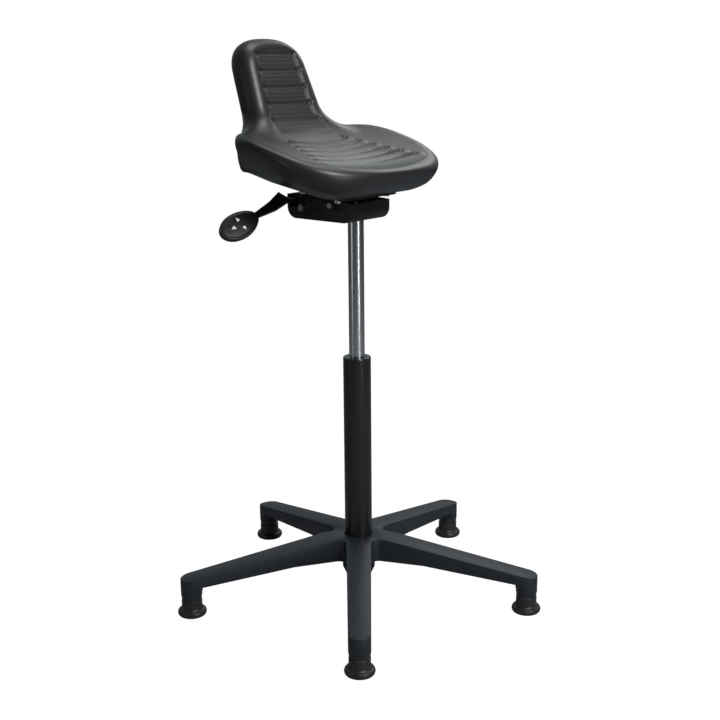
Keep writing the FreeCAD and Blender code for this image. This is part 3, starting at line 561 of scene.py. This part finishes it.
def edge_gap(across: Array, along: Array, wide: object, deep: float,
             power: float) -> Array:
    """Level distance from a rounded outline.

    Args:
        across: distance from the outline's middle, sideways.
        along: distance from its middle along the other axis.
        wide: half its width.
        deep: half its depth.
        power: 2 for an ellipse, more for fuller corners.

    Returns:
        One distance per point.
    """
    first = np.abs(across) / wide
    second = np.abs(along) / deep
    share = (first ** power + second ** power + TINY) ** (1 / power)
    slope = np.hypot(first ** (power - 1) / wide, second ** (power - 1) / deep)
    return (share - 1) / np.maximum(slope / share ** (power - 1), 1e-6)


def rolled_slab(gap: Array, away: Array, edge: object, half: Array) -> Array:
    """Slab with a round edge.

    Args:
        gap: distance from the outline.
        away: distance from the slab's middle surface.
        edge: how far in the rounding starts.
        half: half the slab's thickness.

    Returns:
        One value per point.
    """
    turn = np.maximum(gap + edge, 0) / edge
    return (turn ** EDGE_POWER + (np.abs(away) / half) ** EDGE_POWER + TINY) ** (1 / EDGE_POWER) - 1


def read_mesh(piece: Piece, key: str = "co") -> Array:
    """Points of a mesh, or their outward directions under the key normal."""
    flat = np.empty(len(piece.data.vertices) * 3)
    piece.data.vertices.foreach_get(key, flat)
    return flat.reshape(-1, 3)


def write_mesh(piece: Piece, spots: Array) -> None:
    """Put points back into a mesh."""
    piece.data.vertices.foreach_set("co", spots.ravel())
    piece.data.update()


def remesh(piece: Piece, size: float) -> None:
    """Even out a mesh on a grid of one cell size."""
    modifier = piece.modifiers.new("even", "REMESH")
    modifier.mode = "VOXEL"
    modifier.voxel_size = size
    apply_modifier(piece, "even")


# Seat


@dataclass
class Cushion:
    """One-piece moulded seat and back. Sizes are in millimetres and degrees.

    A groove's pair of numbers is a value at the first groove, or in the middle of a groove,
    and its growth per groove, or towards the groove's ends.
    """

    wardrobe: Wardrobe
    body: str = "seat_body"
    plate_height: float = 741.0
    plate_thick: float = 3.0
    plate_pitch: float = 7.9
    plate_touch: float = 0.2
    half: float = 187.0
    depth: float = 280.0
    middle: float = 36.0
    top: float = 62.0
    pitch: float = 15.6
    sink: float = 0.5
    least_half: float = 6.0
    dish: float = 22.0
    nose: float = 9.0
    chin: float = 22.0
    nose_start: float = 20.0
    nose_run: float = 60.0
    lift: float = 51.0
    lift_start: float = 0.42
    heel: float = 18.0
    heel_start: float = 90.0
    heel_run: float = 86.0
    tuck: float = 46.0
    outline: float = 2.6
    thin_edge: float = 22.0
    thick_edge: float = 38.0
    under_edge: float = 5.0
    foot_inset: float = 20.0
    foot_rise: float = 15.0
    back_height: float = 195.0
    back_lean: float = 20.5
    back_half: float = 92.0
    back_thick: float = 61.0
    back_edge: float = 30.0
    back_hollow: float = 4.0
    hollow_half: float = 80.0
    rear_share: float = 0.9
    front_swell: float = 0.5
    taper: float = 0.2
    flare: float = 30.0
    flare_end: float = 0.34
    flare_run: float = 0.5
    crown: float = 62.0
    crown_power: float = 2.6
    crown_lean: float = 0.14
    root: float = 34.0
    fillet: float = 30.0
    panel_half: float = 0.66
    panel_margin: float = 3.0
    panel_foot: float = 4.0
    panel_top: float = 178.0
    panel_arch: float = 0.004
    panel_front: float = 8.0
    panel_soft: tuple[float, ...] = (14.0, 22.0, 16.0, 8.0)
    panel_recess: float = 5.0
    rib_pitch: float = 30.6
    first_rib: float = 36.0
    rib_count: int = 5
    rib_swell: float = 1.3
    rib_fullness: float = 0.7
    channel_cut: float = 0.9
    channel_width: float = 2.6
    rib_front: float = 6.0
    dimple_inset: float = 3.0
    dimple_cut: float = 3.2
    dimple_width: float = 4.2
    upward: Pair = (0.35, 0.3)
    groove_count: int = 6
    groove_end: float = 25.0
    groove_half: Pair = (70.0, 10.5)
    groove_rear: Pair = (86.0, -24.0)
    groove_sag: Pair = (8.0, -2.0)
    groove_width: Pair = (2.6, 2.4)
    groove_cut: Pair = (1.7, 2.1)
    lip_rise: Pair = (0.3, 1.0)
    lip_back: float = 1.9
    lip_width: float = 1.6
    worn_half: Pair = (120.0, 90.0)
    worn_middle: float = 10.0
    field_step: float = 0.6
    least_slope: float = 0.0001
    pull_step: float = 0.5
    pull_least: float = 0.05
    pull_reach: float = 8.0
    rough_sides: int = 40
    rough_rings: int = 21
    rough_end: float = 0.97
    rough_shoulder: float = 0.66
    rough_half: float = 0.95
    rough_voxel: float = 5.0
    voxel: float = 2.02

    def pan_heights(self, x: Array, y: Array) -> tuple[Array, Array]:
        """Middle height of the pan and half its thickness, before the edge is rounded.

        Args:
            x: sideways places.
            y: places front to rear.

        Returns:
            The heights and the half thicknesses.
        """
        side = np.abs(x) / self.half
        front = np.maximum(0.0, -self.nose_start - y) / self.nose_run
        rear = np.maximum(0.0, y) / (self.middle + self.depth / 2)
        outer = np.maximum(0.0, (side - self.lift_start) / (1 - self.lift_start))
        heel = np.maximum(0.0, (y - self.heel_start) / self.heel_run)
        top = self.plate_height + self.top + y * math.tan(math.radians(self.pitch))
        top = top + self.dish * side ** 2 + self.nose * front ** 2
        bottom = self.plate_height + self.plate_thick - self.sink
        bottom = bottom + y * math.tan(math.radians(self.plate_pitch)) + self.lift * outer ** 2
        bottom = bottom + self.chin * front ** 2 + self.tuck * side ** 4 * rear
        bottom = bottom + self.heel * heel ** 2
        return (top + bottom) / 2, np.maximum((top - bottom) / 2, self.least_half)

    def pan_field(self, spots: Array) -> Array:
        """Field of the pan."""
        x, y, z = spots.T
        middle, half = self.pan_heights(x, y)
        gap = edge_gap(x, y - self.middle, self.half, self.depth / 2, self.outline)
        return rolled_slab(gap, z - middle, np.clip(half, self.thin_edge, self.thick_edge), half)

    def back_foot(self) -> Pair:
        """Where the back starts, in y and z."""
        return (self.middle + self.depth / 2 - self.foot_inset,
                self.plate_height + self.top + self.foot_rise)

    def lean_frame(self, spots: Array) -> tuple[Array, Array]:
        """Height along the leaning back and depth square to it, of some points.

        Args:
            spots: an array of points.

        Returns:
            The heights and the depths, in front below 0.
        """
        x, y, z = spots.T
        lean = math.radians(self.back_lean)
        foot_y, foot_z = self.back_foot()
        y, z = y - foot_y, z - foot_z
        height = y * math.sin(lean) + z * math.cos(lean)
        depth = y * math.cos(lean) - z * math.sin(lean)
        return height, depth + self.back_hollow * (x / self.hollow_half) ** 2

    def foot_share(self, share: Array) -> Array:
        """How much the back widens at a share of its height: 1 at its foot, 0 higher up."""
        return soft_step((self.flare_end - share) / self.flare_run)

    def back_half_width(self, share: Array) -> Array:
        """Half width of the back at a share of its height, below its rounded top."""
        return self.back_half * (1 - self.taper * share) + self.flare * self.foot_share(share)

    def back_field(self, spots: Array) -> Array:
        """Field of the back."""
        height, depth = self.lean_frame(spots)
        share = height / self.back_height
        start = self.back_height - self.crown
        above = height - start - self.crown_lean * depth * np.clip(share, 0, 1)
        half = self.back_half_width(share)
        gap = edge_gap(spots[:, 0], np.maximum(above, 0.0), half, self.crown, self.crown_power)
        swell = 1 + self.front_swell * self.foot_share(share)
        thick = self.back_thick / 2 * np.where(depth < 0, swell, self.rear_share)
        body = rolled_slab(gap, depth, self.back_edge, thick)
        return np.maximum(body, (-height - self.root) / self.back_edge)

    def distance(self, spots: Array) -> Array:
        """Rough distance from the seat's skin, with the back growing softly out of the pan.

        Args:
            spots: an array of points.

        Returns:
            Millimetres outside the skin, below 0 inside.
        """
        gaps = []
        for shape in (self.pan_field, self.back_field):
            slope = np.sqrt((slopes(shape, spots, self.field_step) ** 2).sum(1))
            gaps.append(shape(spots) / np.maximum(slope, self.least_slope))
        joined = soft_min(*gaps, self.fillet)
        pitch = math.radians(self.plate_pitch)
        floor = self.plate_height + (self.plate_thick - self.plate_touch) / math.cos(pitch)
        under = (floor + spots[:, 1] * math.tan(pitch) - spots[:, 2]) * math.cos(pitch)
        return -soft_min(-joined, -under, self.under_edge)

    def pull_to_skin(self, spots: Array, rounds: int) -> Array:
        """Move points along the slope of the distance until they lie on the skin.

        Args:
            spots: an array of points.
            rounds: how many steps to take.

        Returns:
            The moved points.
        """
        for _ in range(rounds):
            slope = slopes(self.distance, spots, self.pull_step)
            length = np.maximum((slope ** 2).sum(1), self.pull_least)
            move = np.clip(self.distance(spots) / length, -self.pull_reach, self.pull_reach)
            spots = spots - slope * move[:, None]
        return spots

    def rough_form(self) -> Piece:
        """Rough pan and back as closed rings in one object.

        Returns:
            The object.
        """
        piece = empty_mesh("cushion")
        work = bmesh.new()
        angles = [2 * math.pi * index / self.rough_sides for index in range(self.rough_sides)]
        for point in (self.rough_pan, self.rough_back):
            rings = []
            for station in np.linspace(-self.rough_end, self.rough_end, self.rough_rings):
                rings.append([work.verts.new(point(station, angle)) for angle in angles])
            for first, second in zip(rings, rings[1:]):
                for index in range(self.rough_sides):
                    after = (index + 1) % self.rough_sides
                    work.faces.new((first[index], first[after], second[after], second[index]))
            work.faces.new(rings[0][::-1])
            work.faces.new(rings[-1])
        bmesh.ops.recalc_face_normals(work, faces=work.faces)
        work.to_mesh(piece.data)
        work.free()
        return piece

    def rough_pan(self, station: float, angle: float) -> Triple:
        """Point of the rough pan, at -1 to 1 along it and an angle round it."""
        reach = (1 - abs(station) ** 3) ** (1 / 3)
        x = self.half * math.cos(angle) * reach
        y = self.middle + self.depth / 2 * station
        middle, half = self.pan_heights(np.array([x]), np.array([y]))
        return x, y, float(middle[0] + half[0] * math.sin(angle) * reach)

    def rough_back(self, station: float, angle: float) -> Triple:
        """Point of the rough back, at -1 to 1 along it and an angle round it."""
        share = (station + 1) / 2
        narrowing = max(0.0, (share - self.rough_shoulder) / (1 - self.rough_shoulder))
        reach = (1 - narrowing ** self.crown_power) ** (1 / self.crown_power)
        lean = math.radians(self.back_lean)
        height = share * self.back_height
        depth = self.back_thick / 2 * math.sin(angle) * reach
        foot_y, foot_z = self.back_foot()
        y = foot_y + height * math.sin(lean) + depth * math.cos(lean)
        z = foot_z + height * math.cos(lean) - depth * math.sin(lean)
        return self.back_half * self.rough_half * math.cos(angle) * reach, y, z

    def groove_depth(self, spots: Array) -> Array:
        """How far the curved grooves of the pan go in. Their raised lips are below 0.

        Args:
            spots: an array of points.

        Returns:
            Millimetres inwards.
        """
        x, y = np.abs(spots[:, 0]), spots[:, 1]
        depth = np.zeros(len(spots))
        for index in range(self.groove_count):
            half = ramp(self.groove_half, index)
            share = np.clip(x / half, 0, 1)
            line = ramp(self.groove_rear, index) - ramp(self.groove_sag, index) * (1 - share ** 2)
            over = np.maximum(x - half, 0)
            width = ramp(self.groove_width, share ** 3)
            cut = np.hypot(y - line, over) / width
            lip = np.hypot(y - line + self.lip_back * width, over) / (self.lip_width * width)
            depth += ramp(self.groove_cut, share ** 3) * np.exp(-cut ** 2)
            depth -= ramp(self.lip_rise, share ** 3) * np.exp(-lip ** 2)
        return depth

    def rib_half(self, height: Array) -> Array:
        """Half width of the ribs at some heights along the back."""
        return self.back_half_width(height / self.back_height) * self.panel_half

    def panel_share(self, spots: Array) -> Array:
        """How much each point belongs to the ribbed panel of the back.

        Args:
            spots: an array of points.

        Returns:
            A share from 0 to 1 per point.
        """
        x = np.abs(spots[:, 0])
        height, depth = self.lean_frame(spots)
        insides = (self.rib_half(height) + self.panel_margin - x,
                   height - self.panel_foot,
                   self.panel_top - self.panel_arch * x ** 2 - height,
                   -depth - self.panel_front)
        shares = [np.clip(inside / soft, 0, 1) for inside, soft in zip(insides, self.panel_soft)]
        return soft_step(np.prod(shares, 0))

    def rib_depth(self, spots: Array, panel: Array) -> Array:
        """How far the channels between the ribs go in, with dimples at their ends.

        Args:
            spots: an array of points.
            panel: each point's share of the panel.

        Returns:
            Millimetres inwards.
        """
        x = np.abs(spots[:, 0])
        height, depth = self.lean_frame(spots)
        half = self.rib_half(height)
        turn = np.pi * (height - self.first_rib) / self.rib_pitch
        swell = self.rib_swell * np.abs(np.sin(turn)) ** self.rib_fullness
        result = (self.panel_recess - swell) * panel
        front = depth < -self.rib_front
        for index in range(self.rib_count):
            rise = height - self.first_rib - self.rib_pitch * index
            channel = np.hypot(rise, np.maximum(x - half, 0)) / self.channel_width
            dimple = np.hypot(rise, x - half + self.dimple_inset) / self.dimple_width
            result += front * self.channel_cut * np.exp(-channel ** 2)
            result += front * self.dimple_cut * np.exp(-dimple ** 2)
        return result

    def build(self) -> None:
        """Model the cushion and let it stand for its CAD solid."""
        piece = self.rough_form()
        remesh(piece, self.rough_voxel)
        write_mesh(piece, self.pull_to_skin(read_mesh(piece), 5))
        remesh(piece, self.voxel)
        spots = self.pull_to_skin(read_mesh(piece), 4)
        write_mesh(piece, spots)
        outward = read_mesh(piece, "normal")
        panel = self.panel_share(spots)
        height, _ = self.lean_frame(spots)
        upward = np.clip((outward[:, 2] - self.upward[0]) / self.upward[1], 0, 1)
        inward = self.rib_depth(spots, panel)
        inward += self.groove_depth(spots) * upward * (height < self.groove_end)
        write_mesh(piece, (spots - outward * inward[:, None]) * MM)
        wide, deep = self.worn_half
        away = np.hypot(spots[:, 0] / wide, (spots[:, 1] - self.worn_middle) / deep)
        worn = np.clip(1 - away, 0, 1) * upward
        mesh = piece.data
        for name, values in (("panel", panel), ("worn", worn)):
            attribute = mesh.attributes.new(name, "FLOAT", "POINT")
            attribute.data.foreach_set("value", values.astype(np.float32))
        for face in mesh.polygons:
            face.use_smooth = True
        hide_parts("seat_cushion")
        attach(piece, self.body)
        self.wardrobe.dress(piece, Skin.FOAM)
        log.info("cushion: %d points", len(mesh.vertices))


# Lever


@dataclass
class LeverGrip:
    """Egg-shaped grip with a raised rim, its inlaid face and plain marks. In millimetres."""

    wardrobe: Wardrobe
    root: Triple = (-144.8, 97.6, 711.0)
    along: Triple = (-0.93, 0.11, -0.35)
    across: Triple = (-0.16, 0.74, 0.66)
    length: float = 79.0
    half: float = 23.6
    egg: float = 0.07
    low: float = -5.0
    high: float = 4.0
    rim: float = 3.0
    slope: float = 1.0
    recess: float = 1.0
    face_inset: float = 4.6
    face_sunk: float = 1.4
    face_rise: float = 0.7
    mark_low: float = 3.2
    mark_rise: float = 0.5
    mark_tip: float = 5.2
    mark_foot: float = 4.2
    mark_angle: float = 2.2
    ease_angle: float = 30.0
    crisp_angle: float = 50.0
    grip_ease: float = 1.2
    face_ease: float = 0.3
    mark_ease: float = 0.15
    marks: tuple[tuple[str, float, float, float, float], ...] = (
        ("mark_up", 36.0, 9.0, math.pi / 2, 1.0),
        ("mark_down", 36.0, -9.0, -math.pi / 2, 1.0),
        ("mark_bar", 52.0, 0.0, 0.0, 1.2),
    )
    sides: int = 72
    body: str = "lever_body"

    def frame(self) -> Matrix:
        """Matrix from the grip's own frame, in millimetres, to the part's frame in metres."""
        along = Vector(self.along).normalized()
        across = Vector(self.across)
        across = (across - along * across.dot(along)).normalized()
        face = across.cross(along)
        turn = Matrix((along, across, face)).transposed().to_4x4()
        return Matrix.Translation(Vector(self.root) * MM) @ turn @ Matrix.Scale(MM, 4)

    def outline(self, inset: float) -> list[Pair]:
        """Points round the egg-shaped outline, drawn in by an inset."""
        points = []
        centre = self.length / 2
        for index in range(self.sides):
            angle = 2 * math.pi * index / self.sides
            wide = (self.half - inset) * (1 + self.egg * math.cos(angle))
            points.append((centre + (centre - inset) * math.cos(angle), wide * math.sin(angle)))
        return points

    def sink_top(self, piece: Piece) -> None:
        """Sink the inside of the grip's top, leaving a rim."""
        select_only(piece)
        for face in piece.data.polygons:
            level = abs(face.center.z - self.high) < 0.05
            face.select = level and abs(face.normal.z) > 0.9
        for part in (*piece.data.edges, *piece.data.vertices):
            part.select = False
        bpy.ops.object.mode_set(mode="EDIT")
        bpy.ops.mesh.select_mode(type="FACE")
        bpy.ops.mesh.inset(thickness=self.rim)
        bpy.ops.mesh.inset(thickness=self.slope)
        bpy.ops.transform.translate(value=(0, 0, -self.recess))
        bpy.ops.object.mode_set(mode="OBJECT")

    def finish(self, piece: Piece, width: float, skin: Skin, *nodes: str) -> None:
        """Round the edges, put the piece in place and dress it.

        Args:
            piece: the piece in the grip's own frame.
            width: millimetres of rounding.
            skin: its finish.
            nodes: CAD nodes that it stands for.
        """
        ease_edges(piece, width, 4, self.ease_angle, True)
        piece.data.transform(self.frame())
        smooth(piece, self.crisp_angle)
        if nodes:
            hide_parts(*nodes)
        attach(piece, self.body)
        self.wardrobe.dress(piece, skin)
        log.info("%s made", piece.name)

    def mark(self, name: str, place: float, side: float, turn: float, stretch: float) -> Piece:
        """Small raised triangle.

        Args:
            name: the piece's name.
            place: distance along the grip.
            side: distance across it.
            turn: direction that it points in, in radians from the grip's length.
            stretch: factor on its width across the grip.

        Returns:
            The triangle in the grip's own frame.
        """
        points = []
        for angle, reach in ((0.0, self.mark_tip), (self.mark_angle, self.mark_foot),
                             (-self.mark_angle, self.mark_foot)):
            y = side + reach * math.sin(turn + angle)
            points.append((place + reach * math.cos(turn + angle), y * stretch))
        return new_slab(name, points, self.mark_low, self.mark_rise)

    def build(self) -> None:
        """Model the grip, its face and the marks."""
        grip = new_slab("grip", self.outline(0.0), self.low, self.high - self.low)
        self.sink_top(grip)
        self.finish(grip, self.grip_ease, Skin.GRIP, "lever_grip")
        face = new_slab("grip_face", self.outline(self.face_inset), self.high - self.face_sunk,
                        self.face_rise)
        self.finish(face, self.face_ease, Skin.GRIP, "symbol_plate")
        for piece in [self.mark(*mark) for mark in self.marks]:
            self.finish(piece, self.mark_ease, Skin.MARK)


# Base and column


@dataclass
class Glide:
    """One turned foot: a grooved neck that swells in a hollow curve to a rounded flange.

    Sizes are in metres. Heights on the neck are shares of the foot's height.
    """

    wardrobe: Wardrobe
    node: str
    neck: float = 0.71
    sole_inset: float = 3.2 * MM
    lip: float = 4.0 * MM
    lip_rise: float = 5.6 * MM
    hollow_start: float = 11.4 * MM
    hollow_rise: float = 5.0 * MM
    hollow_inset: float = 4.2 * MM
    groove: float = 1.6 * MM
    collar: float = 0.2 * MM
    neck_levels: tuple[float, ...] = (0.76, 0.79, 0.86, 0.89, 1.0)
    sides: int = 72
    body: str = "base"

    def profile(self, wide: float, tall: float) -> list[Pair]:
        """Radii and heights up the foot.

        Args:
            wide: radius of the flange.
            tall: height of the foot.

        Returns:
            Pairs of radius and height, from the underside to the top.
        """
        neck = wide * self.neck
        steps = [(wide - self.sole_inset, 0.0)]
        for turn in np.linspace(-math.pi / 2, math.pi / 2, 7):
            steps.append((wide - self.lip + self.lip * math.cos(turn),
                          self.lip_rise * (1 + math.sin(turn))))
        for turn in np.linspace(0, math.pi / 2, 6)[1:]:
            steps.append((neck + (wide - self.hollow_inset - neck) * (1 - math.sin(turn)),
                          self.hollow_start + self.hollow_rise * (1 - math.cos(turn))))
        insets = (0.0, self.groove, self.groove, self.collar, self.collar)
        return steps + [(neck - inset, tall * level)
                        for inset, level in zip(insets, self.neck_levels)]

    def build(self) -> None:
        """Model the foot by extruding a circle up its profile."""
        low, high = (Vector(corner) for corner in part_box(self.node))
        centre = (low + high) / 2
        steps = self.profile((high.x - low.x) / 2, high.z - low.z)
        piece = new_disc(self.node + "_foot", self.sides, steps[0][0])
        start_edit()
        for before, after in zip(steps, steps[1:]):
            extrude_up(after[1] - before[1])
            growth = after[0] / before[0]
            bpy.ops.transform.resize(value=(growth, growth, 1), center_override=(0, 0, 0))
        end_edit()
        piece.data.transform(Matrix.Translation((centre.x, centre.y, low.z)))
        smooth(piece)
        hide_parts(self.node)
        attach(piece, self.body)
        self.wardrobe.dress(piece, Skin.GLIDE)
        log.info("%s made", piece.name)


@dataclass
class Hardware:
    """CAD nodes that keep their shape and get a finish, and those whose edges are eased first."""

    wardrobe: Wardrobe
    frame: dict
    eased: dict[str, tuple[str, Skin, float, str]] = field(default_factory=lambda: {
        "star_base": ("base", Skin.CAST_ARM, 1.6, "base_black"),
        "mechanism_tray": ("lift_body", Skin.HOUSING, 0.5, "steel_black"),
        "seat_plate": ("seat_body", Skin.HOUSING, 0.5, "steel_black"),
        "lever_arm": ("lever_body", Skin.HOUSING, 0.8, "steel_black"),
    })
    plain: dict[Skin, tuple[str, ...]] = field(default_factory=lambda: {
        Skin.COLUMN: ("column_tube",),
        Skin.GUIDE: ("column_guide", "rod_guide"),
        Skin.HOUSING: ("cone_socket", "lever_bracket"),
        Skin.CHROME: ("pressure_tube",),
        Skin.RUBBER: ("rubber_buffer",),
        Skin.BRASS: ("ball_cage", "piston", "valve_body"),
        Skin.BOARD: ("seat_insert",),
    })

    def build(self) -> None:
        """Dress every CAD node, and replace those whose edges are rounded."""
        skins = {name: skin for skin, names in self.plain.items() for name in names}
        for node, (body, skin, width, slot) in self.eased.items():
            piece = eased_copy(self.frame["nodes"][node], node + "_eased", width * MM)
            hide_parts(node)
            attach(piece, body)
            self.wardrobe.dress(piece, skin)
            skins[node] = skin
            log.info("%s eased: %d faces", node, len(piece.data.polygons))
        for name, piece in self.frame["nodes"].items():
            self.wardrobe.dress(piece, skins.get(name, Skin.STEEL))


# Studio


@dataclass
class Lamp:
    """Soft rectangular lamp placed round the stool, as seen from the camera."""

    name: str
    angle: float
    rise: float
    distance: float
    width: float
    height: float
    power: float


@dataclass
class Studio:
    """Camera, lamps, pale floor and white background."""

    heading: float = 49.649
    pitch: float = 14.541
    roll: float = -0.487
    place: Triple = (-1.5626, -1.3346, 0.977)
    lens: float = 59.315
    sensor: float = 36.0
    aim: Triple = (0.0, 0.0, 0.65)
    room_colour: Triple = (0.84, 0.95, 1.0)
    room_strength: Pair = (0.025, 0.36)
    room_span: Pair = (-0.1, 0.75)
    room_rise: float = -0.3
    floor_radius: float = 30.0
    floor_colour: Triple = (0.8, 0.8, 0.8)
    floor_glow: float = 1.13
    glow_share: float = 0.88
    floor_bounce: Triple = (0.26, 0.28, 0.3)
    lamps: tuple[Lamp, ...] = (
        Lamp("overhead", 165.0, 74.0, 2.4, 1.3, 0.9, 17.0),
        Lamp("behind", 156.0, 31.0, 3.0, 1.6, 0.7, 11.0),
        Lamp("strip_right", 38.0, 8.0, 2.2, 0.16, 1.9, 11.0),
        Lamp("high_right", 36.0, 42.0, 2.3, 0.24, 1.1, 40.0),
        Lamp("side_left", -62.0, 2.0, 2.6, 0.4, 1.6, 3.0),
    )

    def level_axes(self) -> tuple[Vector, Vector]:
        """The camera's right and forward directions, laid level."""
        turn = math.radians(self.heading)
        right = Vector((math.cos(turn), -math.sin(turn), 0))
        return right, Vector((math.sin(turn), math.cos(turn), 0))

    def camera(self) -> None:
        """Add the camera at the photographed view."""
        right, level = self.level_axes()
        dip = math.radians(self.pitch)
        tilt = math.radians(self.roll)
        forward = level * math.cos(dip) + Vector((0, 0, -math.sin(dip)))
        down = -level * math.sin(dip) + Vector((0, 0, -math.cos(dip)))
        image_right = right * math.cos(tilt) - down * math.sin(tilt)
        image_down = right * math.sin(tilt) + down * math.cos(tilt)
        data = bpy.data.cameras.new("camera")
        data.lens = self.lens
        data.sensor_width = self.sensor
        piece = bpy.data.objects.new("camera", data)
        turn = Matrix((image_right, -image_down, -forward)).transposed().to_4x4()
        piece.matrix_world = Matrix.Translation(Vector(self.place)) @ turn
        bpy.context.scene.collection.objects.link(piece)
        bpy.context.scene.camera = piece

    def around(self, lamp: Lamp) -> Vector:
        """Place of a lamp: angle 0 is the camera's side and 90 the picture's right."""
        right, level = self.level_axes()
        angle = math.radians(lamp.angle)
        rise = math.radians(lamp.rise)
        side = right * (math.sin(angle) * math.cos(rise))
        far = level * (-math.cos(angle) * math.cos(rise))
        up = Vector((0, 0, math.sin(rise)))
        return Vector(self.aim) + (side + far + up) * lamp.distance

    def light(self) -> None:
        """Add the lamps."""
        for lamp in self.lamps:
            data = bpy.data.lights.new(lamp.name, "AREA")
            data.shape = "RECTANGLE"
            data.size = lamp.width
            data.size_y = lamp.height
            data.energy = lamp.power
            piece = bpy.data.objects.new(lamp.name, data)
            piece.location = self.around(lamp)
            toward = Vector(self.aim) - piece.location
            piece.rotation_mode = "QUATERNION"
            piece.rotation_quaternion = toward.to_track_quat("-Z", "Y")
            bpy.context.scene.collection.objects.link(piece)

    def world(self) -> None:
        """White behind the stool for the camera, and a dimmer room for reflections."""
        world = bpy.data.worlds.new("studio")
        world.use_nodes = True
        nodes = Nodes(world.node_tree, "ShaderNodeOutputWorld")
        _, level = self.level_axes()
        front = nodes.add("ShaderNodeVectorMath", {
            0: nodes.coordinates["Generated"],
            1: (level.x, level.y, self.room_rise),
        }, operation="DOT_PRODUCT")
        strength = nodes.between(front.outputs["Value"], *self.room_strength, self.room_span)
        room = nodes.add("ShaderNodeBackground",
                         {"Color": (*self.room_colour, 1), "Strength": strength})
        seen = nodes.add("ShaderNodeBackground", {"Color": (1, 1, 1, 1)})
        camera_ray = nodes.add("ShaderNodeLightPath").outputs["Is Camera Ray"]
        nodes.show(nodes.mix(camera_ray, room, seen))
        bpy.context.scene.world = world

    def floor(self) -> None:
        """Pale floor that meets the white background and keeps a soft shadow."""
        piece = new_disc("floor", 96, self.floor_radius)
        material, nodes = new_material("pale_floor")
        plain = nodes.add("ShaderNodeBsdfDiffuse", {"Color": (*self.floor_colour, 1)})
        glow = nodes.add("ShaderNodeEmission", {"Strength": self.floor_glow})
        bounce = nodes.add("ShaderNodeBsdfDiffuse", {"Color": (*self.floor_bounce, 1)})
        camera_ray = nodes.add("ShaderNodeLightPath").outputs["Is Camera Ray"]
        share = nodes.compute("MULTIPLY", camera_ray, self.glow_share)
        seen = nodes.mix(share, plain, glow)
        nodes.show(nodes.mix(camera_ray, bounce, seen))
        piece.data.materials.append(material)

    def build(self) -> None:
        """Set up the whole studio."""
        bpy.context.scene.view_settings.view_transform = "Standard"
        self.camera()
        self.light()
        self.world()
        self.floor()


def main() -> None:
    """Build the looks of the stool round its frame."""
    logging.basicConfig(level=logging.INFO, format="%(name)s: %(message)s")
    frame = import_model()
    wardrobe = Wardrobe()
    Studio().build()
    Hardware(wardrobe, frame).build()
    for index in range(5):
        Glide(wardrobe, "glide_%d" % (index + 1)).build()
    LeverGrip(wardrobe).build()
    Cushion(wardrobe).build()


if __name__ == "__main__":
    main()
